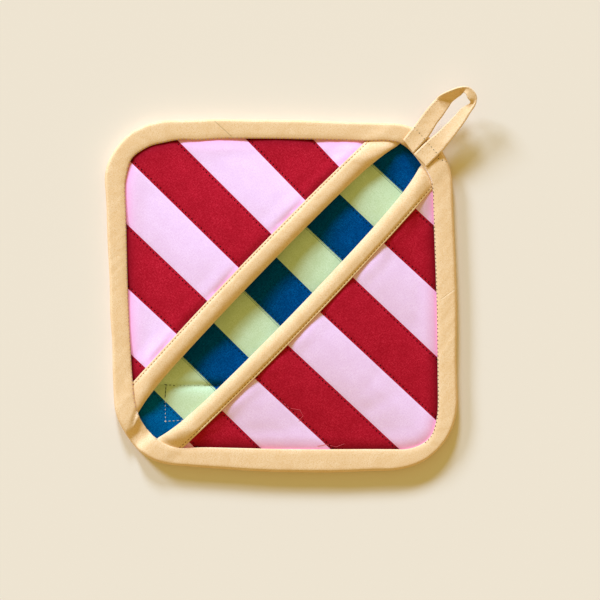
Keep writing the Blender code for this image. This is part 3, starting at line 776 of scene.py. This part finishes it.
def buildPanel(panel):
    print("panel", panel)
    edges = [panelEnd(panel, -1)] + [seam[0] for seam in patchwork[panel]["seams"]] + [panelEnd(panel, 1)]
    if panel == "base":
        low, high = baseBottom, baseTop
    else:
        low, high = (lambda at: pocketBottom(panel, at)), (lambda at: pocketTop(panel, at))
    swell = simulateQuilt(panel, edges, low, high)
    rows = int(aim(*columnEnds(panel, 0.0))[1] / quilting["rowStep"])
    topTrees[panel], strips = [], []
    for k in range(len(edges) - 1):
        columns = stripColumns(edges[k], edges[k + 1], quilting["columnStep"])
        xy, uv = panelGrid(panel, columns, rows)
        at = fieldsAt(xy.reshape(-1, 2))
        top = high(at).reshape(xy.shape[:2]) + stripRise(panel, edges, k, columns, xy, at, swell)
        colour = patchwork[panel]["colours"][k % 2]
        # the first strip of the base is drawn in a paler, tealer blue than the other blue strips
        stripCloth = "paleBlue" if panel == "base" and k == 0 else colour
        # painted shade beside the tapes, for the cloth's colour
        tapeShade = stripTapeShade(panel, at, xy.shape[:2])
        piece = slabMesh(f"{panel}Strip{k + 1}", xy, top - layers["cloth"], top, uv, cloths[stripCloth], tapeShade)
        keep(piece, [f"{panel}_strip_{k + 1}"])
        topTrees[panel].append(treeOf(piece))
        strips.append((xy, uv, top - layers["cloth"] - quilting["clothGap"], columns))
    xy, uv, under, columns = (np.concatenate(grids) for grids in zip(*strips))
    bottom = overGrid(xy, low) + movedAt(swell, 0, columns, rows) * quilting["lowerSwell"] + layers["cloth"]
    bottom = np.minimum(bottom, under - quilting["waddingGap"])
    # the layers below the strips need only every other point
    few = np.ix_(*[np.unique(np.append(np.arange(0, size, 2), size - 1)) for size in xy.shape[:2]])
    xy, uv, under, bottom = xy[few], uv[few], under[few], bottom[few]
    spare = quilting["spare"] + (quilting["creaseShare"] * creaseDrop(xy) if panel == "base" else 0.0)
    top = np.maximum(under - spare, bottom + 2 * quilting["clothGap"])
    wadding = slabMesh(f"{panel}Wadding", xy, bottom + quilting["clothGap"], top, uv, cloths["wadding"])
    keep(wadding, [f"{panel}_wadding" if panel == "base" else f"{panel}_pocket_wadding"])
    if panel == "base":
        floorSide = overGrid(xy, backBottom)
        back = slabMesh("backCloth", xy, floorSide, floorSide + layers["cloth"], uv, cloths["blue"])
        keep(back, ["base_back_cloth"])
    else:
        back = slabMesh(f"{panel}Lining", xy, bottom - layers["cloth"], bottom, uv, cloths["tape"])
        keep(back, [f"{panel}_pocket_lining"])
    return edges


panelEdges = {panel: buildPanel(panel) for panel in ("base", "upper", "lower")}


# Folded tapes. A section runs from the stitched edge of the lower leg, round the fold, to the
# stitched edge of the upper leg, and back inside.
def foldedSection(tape):
    reach, legs, folds, wall = (tape[name] for name in ("reach", "legSteps", "foldSteps", "wall"))
    outside = [(mix(1.0, reach, k / legs), -1.0) for k in range(legs)]
    for angle in (-math.pi / 2 + math.pi * k / folds for k in range(folds + 1)):
        outside.append((reach * (1 - math.cos(angle)), math.sin(angle)))
    outside += [(mix(reach, 1.0, (k + 1) / legs), 1.0) for k in range(legs)]
    inside = [(1.0, 1.0), (reach * 0.9, 1.0), (wall, 0.4), (wall, -0.4), (reach * 0.9, -1.0), (1.0, -1.0)]
    return outside, inside


def travelled(lines):
    # how far round its section each line of a tape lies
    steps = [float(np.linalg.norm(b - a, axis=1).mean()) for a, b in zip(lines[:-1], lines[1:])]
    return np.cumsum([0.0] + steps)


def tapeMesh(name, lines, along, across, closed, material):
    # a tape from lines that run along it, one for each point of its section
    uvs = [np.column_stack([a, np.full(len(a), far)]) for a, far in zip(along, across)]
    rings, uvs = np.array(lines).transpose(1, 0, 2), np.array(uvs).transpose(1, 0, 2)
    return tubeMesh(name, rings, closed, uvs, material), rings


edgeTape = {"reach": 0.13, "crown": 0.0002, "crownPower": 0.8, "legSteps": 10, "foldSteps": 12, "wall": 0.10,
            "groove": 0.00018, "grooveAt": 0.0009, "grooveReach": 0.0005, "ripple": 0.00014,
            "rippleWide": 0.012, "drop": 0.00012, "dropReach": 0.0035, "lip": 0.00025, "lipReach": 0.0004,
            # over the open band, under the loop, and over the ends of the mouth tapes
            "bandMargin": 0.001, "bandFade": 0.006, "loopFade": 0.02, "loopShare": 0.5,
            "overTapes": 0.0007, "overBefore": 0.005, "overAfter": 0.006, "overFade": 0.008}


def rimTop(at):
    # the layers under the upper leg: full under both pockets, lower in the open band
    full = layers["tape"] + layers["gap"] + 2 * (2 * layers["cloth"] + 3 * layers["gap"] + layers["rimFill"])
    margin, fade = edgeTape["bandMargin"], edgeTape["bandFade"]
    bare = smooth((-at["upper"] - margin) / fade) * smooth((-at["lower"] - margin) / fade)
    low = (2 * layers["cloth"] + 3 * layers["gap"] + layers["rimFill"]) * bare
    nearLoop = smooth((at["points"] @ mouthAlong) / edgeTape["loopFade"])
    tapes = 0.0
    for pocket in ("upper", "lower"):
        before = at[pocket] + edgeTape["overBefore"]
        after = mouths[pocket]["width"] + edgeTape["overAfter"] - at[pocket]
        tapes = tapes + smooth(before / edgeTape["overFade"]) * smooth(after / edgeTape["overFade"])
    return full - low * (1 - edgeTape["loopShare"] * nearLoop) + edgeTape["overTapes"] * tapes


# a pleat at the corner: from, to, depth, reach
tapeDents = [((-0.0888, -0.0690), (-0.0930, -0.0812), 0.0014, 0.0009)]
dentShape = {"fade": 0.002, "endFade": 0.006, "ridge": 0.6, "ridgeAt": 1.7}


def dentDrop(points):
    total = np.zeros(len(points))
    for start, end, depth, reach in tapeDents:
        along, length = aim(start, end)
        away = points - np.array(start)
        off = cross(np.broadcast_to(along, away.shape), away)
        run = away @ along
        fade = dentShape["fade"]
        ends = smooth((run + fade) / (2 * fade)) * smooth((length - run + fade) / dentShape["endFade"])
        ridge = dentShape["ridge"] * np.exp(-((off - dentShape["ridgeAt"] * reach) / reach) ** 2)
        total += depth * ends * (np.exp(-(off / reach) ** 2) - ridge)
    return total


# puckers of bias tape lie slantwise across it
puckering = {"slant": 0.8, "fine": (0.0042, 0.02), "slow": (0.016, 0.012), "slowShare": 0.7}


def ripples(length, across, size, seed):
    (fineLong, fineWide), (slowLong, slowWide) = puckering["fine"], puckering["slow"]

    def height(u, v):
        fine = noise.noise(Vector(((u + v * puckering["slant"]) / fineLong, v / fineWide, seed)))
        slow = noise.noise(Vector((u / slowLong, v / slowWide, seed + 5)))
        return fine + puckering["slowShare"] * slow
    return size * np.array([height(u, v) for u, v in zip(length, across)])


def upperLeg(share, width, points, length, top):
    # crowned across, pressed down along the stitches, with a small lip past them
    crown = edgeTape["crown"] * math.sin(math.pi * share) ** edgeTape["crownPower"] if share < 1 else 0.0
    fromEdge = (1 - share) * width
    groove = edgeTape["groove"] * np.exp(-((fromEdge - edgeTape["grooveAt"]) / edgeTape["grooveReach"]) ** 2)
    drop = edgeTape["drop"] * smooth(1 - fromEdge / edgeTape["dropReach"])
    lip = edgeTape["lip"] * smooth(1 - fromEdge / edgeTape["lipReach"])
    upper = top + crown - groove - drop - lip - dentDrop(points)
    place = np.full(len(length), share * edgeTape["rippleWide"])
    return upper + ripples(length, place, edgeTape["ripple"], 2.0)


def buildEdgeTape():
    outside, inside = foldedSection(edgeTape)
    width = np.linalg.norm(innerRing - outerRing, axis=1)
    steps = np.linalg.norm(np.roll(outerRing, -1, 0) - outerRing, axis=1)
    length = np.concatenate([[0], np.cumsum(steps)[:-1]])
    lines = []
    for share, level in outside + inside:
        points = mix(outerRing, innerRing, share)
        top = rimTop(fieldsAt(points)) + layers["tape"]
        if len(lines) >= len(outside):
            inner = top - layers["tape"] - 0.0004
            z = mix(layers["tape"], inner, (level + 1) / 2)
        elif level > -1.0:
            z = np.maximum(upperLeg(share, width, points, length, top), 0.001) * (level + 1) / 2
        else:
            z = np.zeros(len(points))
        lines.append(np.column_stack([points, z]))
    along, across = [length] * len(lines), travelled(lines)
    piece = tapeMesh("edgeTape", lines, along, across, True, cloths["edgeTape"])[0]
    return keep(piece, ["edge_binding"])


tapeTrees = {"edge": [treeOf(buildEdgeTape())]}
print("edge tape ready")

mouthTape = {"reach": 0.50, "legSteps": 10, "foldSteps": 14, "wall": 0.12, "step": 0.0011, "longest": 0.25,
             "roll": 0.0010, "crest": {"upper": 0.62, "lower": 0.36}, "stitchDip": 0.0006, "stitchAt": 0.0012,
             "stitchReach": 0.0007, "lip": 0.00020, "lipReach": 0.0003, "ripple": 0.00010,
             # how far each leg runs under the edge tape, and how it closes down there
             "under": 0.0045, "lowUnder": 0.001, "closeAt": 0.002, "closeFade": 0.006,
             "easeBelow": 0.3, "easeAbove": 0.1, "insideRoll": 0.6, "insideThick": 0.0001}


def mouthLine(pocket, across, depth):
    # the point of a column at some distance behind the free edge
    start, end = columnEnds(pocket, across)
    share = abs(float(start @ mouthAlong)) / halfBand
    hooked = mouthShape["hook"] * min(share ** mouthShape["hookPower"], 1.0) * depth / mouths[pocket]["width"]
    return start + stripeLine(pocket, across)[1] * (depth + hooked - mouthShape["foldDepth"])


def lineEnd(pocket, depth, margin, sign):
    low, high = 0.0, holder["side"]
    for _ in range(24):
        middle = (low + high) / 2
        if depthInside(mouthLine(pocket, sign * middle, depth)[None], innerRing)[0] > margin:
            low = middle
        else:
            high = middle
    return sign * low


def buildMouthTape(pocket):
    width = mouths[pocket]["width"]
    outside, inside = foldedSection(mouthTape)
    stations = int(mouthTape["longest"] / mouthTape["step"])
    crest = mouthTape["crest"][pocket]
    lines, along = [], []
    for share, level in outside + inside:
        isOutside = len(lines) < len(outside)
        # each line of the tape runs from rim to rim and a little under the edge tape
        margin = -mouthTape["under"] if level > 0 else -mouthTape["lowUnder"]
        across = np.linspace(*[lineEnd(pocket, share * width, margin, sign) for sign in (-1, 1)], stations)
        points = np.array([mouthLine(pocket, a, share * width) for a in across])
        at = fieldsAt(points)
        low = pocketBottom(pocket, at) - mouthEase(at) * mouthTape["easeBelow"]
        high = pocketTop(pocket, at) + mouthEase(at) * mouthTape["easeAbove"]
        middle, half = (low + high) / 2, (high - low) / 2
        fromCrest = (share - crest) / (1 - crest if share > crest else crest + 0.1)
        roll = mouthTape["roll"] * (1 - fromCrest ** 2)
        thick = layers["tape"] if isOutside else mouthTape["insideThick"]
        rolled = 1 if isOutside else mouthTape["insideRoll"]
        z = middle + (half + thick + roll * rolled) * level
        if isOutside:
            fromEdge = (1 - share) * width
            dip = math.exp(-((fromEdge - mouthTape["stitchAt"]) / mouthTape["stitchReach"]) ** 2)
            lip = mouthTape["lip"] * float(smooth(1 - fromEdge / mouthTape["lipReach"]))
            z = z - (mouthTape["stitchDip"] * dip + lip) * level * (abs(level) > 0.9)
            place = np.full(len(across), share * width + 0.3 * (level < 0))
            z = z + ripples(across, place, mouthTape["ripple"], 31.0) * abs(level)
        if level > 0:
            # the upper leg closes down to the rim where it goes under the edge tape
            flat = np.minimum(z, rimTop(at) - layers["gap"])
            z = mix(flat, z, smooth((at["depth"] + mouthTape["closeAt"]) / mouthTape["closeFade"]))
        lines.append(np.column_stack([points, z]))
        along.append(across)
    piece = tapeMesh(f"{pocket}MouthTape", lines, along, travelled(lines), False, cloths["tape"])[0]
    return keep(piece, [f"{pocket}_mouth_binding"])


tapeTrees.update({pocket + "Mouth": [treeOf(buildMouthTape(pocket))] for pocket in ("upper", "lower")})
print("mouth tapes ready")

loopTape = {
    "width": 0.0115, "thickness": 0.0013, "steps": 170, "across": 12, "cup": 0.0004, "lift": 0.0092,
    "ripple": 0.00014, "selvage": 0.02, "edgeThick": 0.75, "middleThick": 0.35, "edgeReach": 0.12,
    "underUv": 0.02,
    # where the tape is creased slantwise: the share of its width that still lies flat, by station
    "crease": [(0, 1.0), (4.9, 1.0), (7.4, 0.0), (22, 0.0)],
    # outer edge, inner edge, and how high each stands over the edge tape, in tenths of a millimetre
    "unit": 0.0001,
    "stations": [
        (747, 963, 813, 879, 0, 0), (777, 1002, 858, 929, 3, 0), (827, 1065, 907, 984, 10, 0),
        (875, 1129, 955, 1061, 14, 1), (916, 1180, 987, 1103, 16, 3), (951, 1217, 1013, 1142, 50, 4),
        (975, 1238, 1032, 1172, 66, 6), (1012, 1257, 1046, 1195, 71, 7), (1056, 1274, 1074, 1220, 72, 10),
        (1092, 1286, 1102, 1239, 73, 17), (1126, 1291, 1120, 1252, 73, 53), (1155, 1286, 1133, 1243, 72, 68),
        (1183, 1262, 1141, 1222, 69, 69), (1200, 1233, 1151, 1208, 65, 65), (1201, 1206, 1160, 1196, 61, 53),
        (1189, 1173, 1146, 1180, 58, 29), (1160, 1128, 1104, 1155, 53, 19), (1132, 1081, 1061, 1109, 46, 12),
        (1075, 1001, 1003, 1051, 33, 6), (1030, 944, 956, 1006, 22, 1), (989, 892, 908, 967, 12, 0),
        (941, 844, 861, 924, 3, 0), (894, 797, 813, 877, 0, 0),
    ],
}


def buildLoop():
    stations = np.array(loopTape["stations"]) * loopTape["unit"]
    outer, inner = stations[:, :2], stations[:, 2:4]
    lengths = np.concatenate([[0], np.cumsum(np.linalg.norm(np.diff((outer + inner) / 2, axis=0), axis=1))])
    even = np.linspace(0, lengths[-1], loopTape["steps"])
    places = np.interp(even, lengths, np.arange(len(lengths)))
    heights = cubicRows(stations[:, 4:], places) + loopTape["lift"]
    outer, inner = cubicRows(outer, places), cubicRows(inner, places)
    low, high = np.column_stack([inner, heights[:, 1]]), np.column_stack([outer, heights[:, 0]])
    forward = np.gradient((low + high) / 2, axis=0)
    sideways = high - low
    normal = np.cross(forward, sideways)
    normal /= np.linalg.norm(normal, axis=1)[:, None]
    normal *= np.sign(normal[:, 2])[:, None]
    lying = np.interp(places, *zip(*loopTape["crease"]))
    half = loopTape["thickness"] / 2
    count = loopTape["across"]
    selvage = loopTape["selvage"]
    shares = [selvage + (1 - 2 * selvage) * k / count for k in range(count + 1)]
    profile = [(0.0, 0.0)] + [(share, 1.0) for share in shares] + [(1.0, 0.0)]
    profile += [(share, -1.0) for share in reversed(shares)]
    lines = []
    for share, face in profile:
        # pressed down along both stitched edges, a little cupped between them
        edge = min(min(share, 1 - share) / loopTape["edgeReach"], 1.0)
        swell = half * (loopTape["edgeThick"] + loopTape["middleThick"] * edge) * face
        line = low + sideways * share + normal * (swell - loopTape["cup"] * math.sin(math.pi * share))
        line[:, 2] += sideways[:, 2] * (np.maximum(share - lying, 0) - share)
        ripple = ripples(even, np.full(len(even), share * loopTape["width"]), loopTape["ripple"], 51.0)
        lines.append(line + normal * ripple[:, None])
    across = [share * loopTape["width"] + loopTape["underUv"] * (face < 0) for share, face in profile]
    piece, rings = tapeMesh("loopTape", lines, [even] * len(lines), across, False, cloths["tape"])
    return keep(piece, ["hanging_loop"]), rings


loopPiece, loopRings = buildLoop()
tapeTrees["loop"] = [treeOf(loopPiece)]
print("loop ready")


# Stitches: rows of thread laid on the finished cloth

def stitchTree():
    tree = bpy.data.node_groups.new("threadStitches", "GeometryNodeTree")
    sockets = [("Geometry", "Geometry", None), ("Pitch", "Float", 0.0017), ("Stitch Length", "Float", 0.0011),
               ("Thread Width", "Float", 0.0004), ("Unevenness", "Float", 0.15), ("Seed", "Int", 1),
               ("Thread", "Material", None)]
    for name, kind, value in sockets:
        socket = tree.interface.new_socket(name, in_out="INPUT", socket_type="NodeSocket" + kind)
        if value is not None:
            socket.default_value = value
    tree.interface.new_socket("Geometry", in_out="OUTPUT", socket_type="NodeSocketGeometry")
    given = addNode(tree, "NodeGroupInput").outputs
    curve = addNode(tree, "GeometryNodeMeshToCurve", {0: given["Geometry"]})
    spaced = {"Curve": curve.outputs[0], "Length": given["Pitch"]}
    even = addNode(tree, "GeometryNodeResampleCurve", spaced, mode="LENGTH")
    tangent = addNode(tree, "GeometryNodeInputTangent")
    turn = addNode(tree, "FunctionNodeAlignRotationToVector", {"Vector": tangent.outputs[0]}, axis="X")
    ball = addNode(tree, "GeometryNodeMeshUVSphere", {"Segments": 6, "Rings": 5, "Radius": 0.5})
    least = math2(tree, "SUBTRACT", 1.0, given["Unevenness"])
    share = addNode(tree, "FunctionNodeRandomValue", {"Seed": given["Seed"], 2: least, 3: 1.0})
    long = math2(tree, "MULTIPLY", given["Stitch Length"], share.outputs[1])
    wide = given["Thread Width"]
    size = addNode(tree, "ShaderNodeCombineXYZ", {0: long, 1: wide, 2: wide})
    placed = {"Points": even, "Instance": ball, "Rotation": turn, "Scale": size}
    placed = {name: node.outputs[0] for name, node in placed.items()}
    place = addNode(tree, "GeometryNodeInstanceOnPoints", placed)
    real = addNode(tree, "GeometryNodeRealizeInstances", {0: place.outputs[0]})
    thread = {"Geometry": real.outputs[0], "Material": given["Thread"]}
    paint = addNode(tree, "GeometryNodeSetMaterial", thread)
    addNode(tree, "NodeGroupOutput", {0: paint.outputs[0]})
    return tree


stitches = stitchTree()

# Each kind of row: thread, pitch, stitch length, thread width, unevenness, seed
rowKinds = {
    "pocketQuilting": ("darkRed", 0.00267, 0.00105, 0.00080, 0.25, 5),
    "baseQuilting": ("navy", 0.00267, 0.00105, 0.00080, 0.25, 5),
    "ditch": ("teal", 0.0024, 0.0036, 0.00026, 0.1, 9),
    "mouth": ("brown", 0.00243, 0.00155, 0.00055, 0.15, 1),
    "mouthUnder": ("pale", 0.00243, 0.00155, 0.00045, 0.15, 1),
    "rightEdge": ("plum", 0.0024, 0.0011, 0.00050, 0.15, 1),
    "otherEdge": ("lilac", 0.0024, 0.0011, 0.00034, 0.15, 1),
    "edgeUnder": ("brown", 0.0024, 0.0016, 0.00045, 0.15, 1),
    "whip": ("palePink", 0.0012, 0.0013, 0.00042, 0.15, 1),
    "loop": ("pale", 0.0021, 0.0013, 0.0003, 0.15, 1),
    "loopTack": ("grey", 0.0021, 0.0011, 0.00042, 0.6, 4),
    "darkTack": ("grey", 0.0020, 0.0028, 0.00050, 0.4, 1),
    "paleTack": ("pale", 0.0023, 0.0019, 0.00032, 0.4, 1),
    "crease": ("grey", 0.0030, 0.0029, 0.00018, 0.4, 1),
    "corner": ("grey", 0.0021, 0.0012, 0.00050, 0.4, 1),
    "looseA": ("red", 0.0007, 0.0010, 0.00028, 0.4, 1),
    "looseB": ("red", 0.0007, 0.0010, 0.00024, 0.4, 1),
    "fray": ("blue", 0.0008, 0.0010, 0.00016, 0.4, 1),
}
# how high rows lie over the cloth, how many points their paths have, and where those of the edge tape are
rowLift = {"panel": 0.00003, "tape": 0.00002, "whip": 0.00005, "under": -0.0002, "loop": 0.00004,
           "short": 0.00005}
rowPoints = {"strip": 160, "mouth": 200, "tack": 60, "short": 24}
edgeRows = {"outward": -0.00035, "sideFrom": 0.088, "cornerFrom": (0.08, 0.05), "sway": (0.0004, -0.0005)}


def sewRows(name, kind, paths):
    # paths are lists of 3-D points; each becomes one row of stitches
    vertices, edges = [], []
    for path in paths:
        first = len(vertices)
        vertices += [tuple(float(c) for c in p) for p in path]
        edges += [(first + k, first + k + 1) for k in range(len(path) - 1)]
    mesh = bpy.data.meshes.new(name + "Path")
    mesh.from_pydata(vertices, edges, [])
    guide = bpy.data.objects.new(name + "Path", mesh)
    bpy.context.scene.collection.objects.link(guide)
    sewing = guide.modifiers.new("stitches", "NODES")
    sewing.node_group = stitches
    names = ("Thread", "Pitch", "Stitch Length", "Thread Width", "Unevenness", "Seed")
    given = dict(zip(names, (threads[rowKinds[kind][0]], *rowKinds[kind][1:])))
    for item in stitches.interface.items_tree:
        if item.in_out == "INPUT" and item.name in given:
            sewing[item.identifier] = given[item.name]
    bpy.context.view_layer.update()
    done = bpy.data.meshes.new_from_object(guide.evaluated_get(bpy.context.evaluated_depsgraph_get()))
    bpy.data.objects.remove(guide, do_unlink=True)
    done.shade_smooth()
    piece = bpy.data.objects.new(name, done)
    bpy.context.scene.collection.objects.link(piece)
    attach(piece, "root")
    return piece


def laid(points, trees, lift, fromBelow=False):
    # drop a path onto the cloth, keeping the places that hit it
    away = -1 if fromBelow else 1
    start, aimed = (-0.01 if fromBelow else 0.05), Vector((0, 0, -away))
    found = []
    for x, y in points:
        hits = [tree.ray_cast(Vector((x, y, start)), aimed)[0] for tree in trees]
        heights = [away * hit.z for hit in hits if hit is not None]
        if heights:
            found.append((x, y, away * (max(heights) + lift)))
    return found


def stripRow(panel, across, margin=0.0005):
    # a straight row along a stripe, from the mouth tape to the edge tape
    start, end = columnEnds(panel, across)
    points = mix(start, end, np.linspace(0, 1, rowPoints["strip"])[:, None])
    at = fieldsAt(points)
    chosen = at["depth"] > margin
    if panel != "base":
        chosen &= at[panel] > mouths[panel]["width"] + margin
    else:
        chosen &= np.maximum(at["upper"], at["lower"]) < quilting["underPocket"]
    return points[chosen]


def sewPanels():
    for panel in ("upper", "lower", "base"):
        edges = panelEdges[panel]
        rows = []
        for k in range(len(edges) - 1):
            if patchwork[panel]["colours"][k % 2] not in ("red", "blue"):
                continue
            # a row beside each seam of the strip, and none beside the panel's ends
            sides = [(edges[k], 1, k > 0), (edges[k + 1], -1, k < len(edges) - 2)]
            for row in (stripRow(panel, edge + sign * quilting["row"]) for edge, sign, sewn in sides if sewn):
                if len(row) > 3:
                    rows.append(laid(row, topTrees[panel], rowLift["panel"]))
        kind = "baseQuilting" if panel == "base" else "pocketQuilting"
        sewRows(f"{panel}Quilting", kind, [row for row in rows if len(row) > 2])
    # thin teal lines, laid as rows beside the seams of the open band, on their green side
    places = [seam[0] - off for seam in patchwork["base"]["seams"][1::2] for off in (0.0003, 0.0012)]
    rows = [laid(stripRow("base", place), topTrees["base"], rowLift["tape"]) for place in places]
    sewRows("baseDitchLines", "ditch", [row for row in rows if len(row) > 2])


sewPanels()


def sewTapes():
    for pocket in ("upper", "lower"):
        depth = mouths[pocket]["width"] - mouthTape["stitchAt"]
        across = np.linspace(*[lineEnd(pocket, depth, 0.0004, sign) for sign in (-1, 1)], rowPoints["mouth"])
        line = [mouthLine(pocket, a, depth) for a in across]
        trees = tapeTrees[pocket + "Mouth"]
        sewRows(f"{pocket}MouthStitches", "mouth", [laid(line, trees, rowLift["tape"])])
        sewRows(f"{pocket}MouthStitchesUnder", "mouthUnder", [laid(line, trees, rowLift["tape"], True)])
    # on the edge tape, along its inner edge
    inward = (innerRing - outerRing) / np.linalg.norm(innerRing - outerRing, axis=1)[:, None]
    ditch = innerRing + inward * edgeRows["outward"]
    x, y = ditch.T
    place, wide = pastMouth("lower", ditch), mouths["lower"]["width"]
    far, (cornerX, cornerY) = edgeRows["sideFrom"], edgeRows["cornerFrom"]
    sides = {"right": (x > far) & (place > wide), "top": y > far, "left": x < -far}
    for side, chosen in sides.items():
        runs = np.split(np.arange(len(ditch)), np.nonzero(np.diff(chosen.astype(int)))[0] + 1)
        runs = [run for run in runs if chosen[run[0]] and len(run) > 4]
        kind = "rightEdge" if side == "right" else "otherEdge"
        rows = [laid(ditch[run], tapeTrees["edge"], rowLift["tape"]) for run in runs]
        sewRows(f"{side}EdgeStitches", kind, rows)
    # over the end of the lower pocket's tape the thread sways from side to side
    whip = ditch[(x > cornerX) & (y > cornerY) & (place > 0.0005) & (place < wide)]
    sway = np.where(np.arange(len(whip)) % 2 == 0, *edgeRows["sway"])
    whip = np.column_stack([whip[:, 0] + sway, whip[:, 1]])
    sewRows("whipStitches", "whip", [laid(whip, tapeTrees["edge"], rowLift["whip"])])
    under = laid(np.vstack([ditch, ditch[:1]]), tapeTrees["edge"], rowLift["under"], True)
    sewRows("edgeStitchesUnder", "edgeUnder", [under])


sewTapes()


def sewLoop():
    lines = [loopRings[:, column] + np.array([0, 0, rowLift["loop"]]) for column in (2, loopTape["across"])]
    sewRows("loopStitches", "loop", lines)
    start, end = np.array([0.0818, 0.1039]), np.array([0.0998, 0.0829])
    tack = [mix(start, end, share) for share in np.linspace(0, 1, rowPoints["tack"])]
    sewRows("loopTack", "loopTack", [laid(tack, tapeTrees["loop"], rowLift["panel"])])


sewLoop()

# Short rows: the kind of row, what it lies on, and its lines in the photograph's pixels
photo = {"centre": (282, 296), "pixel": 0.000617}
shortRows = {
    "baseTackDark": ("darkTack", "base", [[(165.5, 384.6), (174, 385.6)], [(166, 385), (165.2, 396)]]),
    "baseTackPale": ("paleTack", "base", [[(165.2, 402), (165.4, 421.4)], [(165.4, 421.4), (182, 420.4)]]),
    "creaseThread": ("crease", "base", [[(175, 385.8), (194, 385.6), (219, 384.6)]]),
    "cornerTack": ("corner", "rim", [[(438.4, 158.6), (446, 161.8)]]),
    "looseThreadA": ("looseA", "lower", [[(283, 402), (289, 408), (300, 410), (303, 416), (299, 421)]]),
    "looseThreadB": ("looseB", "lower", [[(318, 446), (326, 444.5), (336, 447), (344, 444)]]),
    "rimFray": ("fray", "rim", [[(138.2, 414), (146, 428), (156.6, 439.4)]]),
}


def world(line):
    x, y = (np.array(line, dtype=float) - photo["centre"]).T * photo["pixel"]
    return np.column_stack([x, -y])


def sewShortRows():
    trees = {**topTrees, "rim": topTrees["base"] + tapeTrees["edge"]}
    shares = np.linspace(0, 1, rowPoints["short"])[:, None]
    for name, (kind, under, lines) in shortRows.items():
        paths = []
        for points in map(world, lines):
            parts = [mix(a, b, shares) for a, b in zip(points[:-1], points[1:])]
            paths.append(laid(np.concatenate(parts), trees[under], rowLift["short"]))
        sewRows(name, kind, paths)


sewShortRows()
print("stitches ready")


# Floor, light and camera: a soft light from the top edge, another from the upper left
studio = {
    "floor": (238, 228, 209), "floorSide": 40.0, "worldColour": (0.55, 0.42, 0.15),
    "lamps": {
        "topLight": {"share": (0.23, 0.30, 0.44), "lean": (-0.30, 2.15), "softness": 12.0},
        "sideLight": {"share": (0.22, 0.28, 0.41), "lean": (-1.55, 1.75), "softness": 14.0},
    },
    "cameraCentre": (0.0111, -0.0025), "cameraHeight": 6.0, "faceHeight": 0.006, "frameWidth": 0.3702,
    "sensor": 36.0,
}


def buildStudio():
    bpy.ops.mesh.primitive_plane_add(size=studio["floorSide"])
    floor = bpy.context.object
    floor.name = "floor"
    floor.data.materials.append(plainMaterial("paleFloor", studio["floor"], 0.95, 0.1))
    sky = bpy.data.worlds.new("softRoom")
    bpy.context.scene.world = sky
    sky.use_nodes = True
    back = sky.node_tree.nodes["Background"]
    back.inputs["Color"].default_value = (*studio["worldColour"], 1)
    for name, lamp in studio["lamps"].items():
        away = Vector((*lamp["lean"], 1.0)).normalized()
        light = bpy.data.lights.new(name, "SUN")
        light.angle = math.radians(lamp["softness"])
        brightest = max(lamp["share"])
        light.color = [share / brightest for share in lamp["share"]]
        light.energy = math.pi * brightest / away.z
        placed = bpy.data.objects.new(name, light)
        placed.location = away
        placed.rotation_euler = away.to_track_quat("Z", "Y").to_euler()
        bpy.context.scene.collection.objects.link(placed)
    lens = bpy.data.cameras.new("camera")
    lens.sensor_width = studio["sensor"]
    lens.lens = studio["sensor"] * (studio["cameraHeight"] - studio["faceHeight"]) / studio["frameWidth"]
    lens.clip_end = 100
    camera = bpy.data.objects.new("camera", lens)
    camera.location = (*studio["cameraCentre"], studio["cameraHeight"])
    bpy.context.scene.collection.objects.link(camera)
    bpy.context.scene.camera = camera
    bpy.context.scene.view_settings.view_transform = "Standard"


buildStudio()
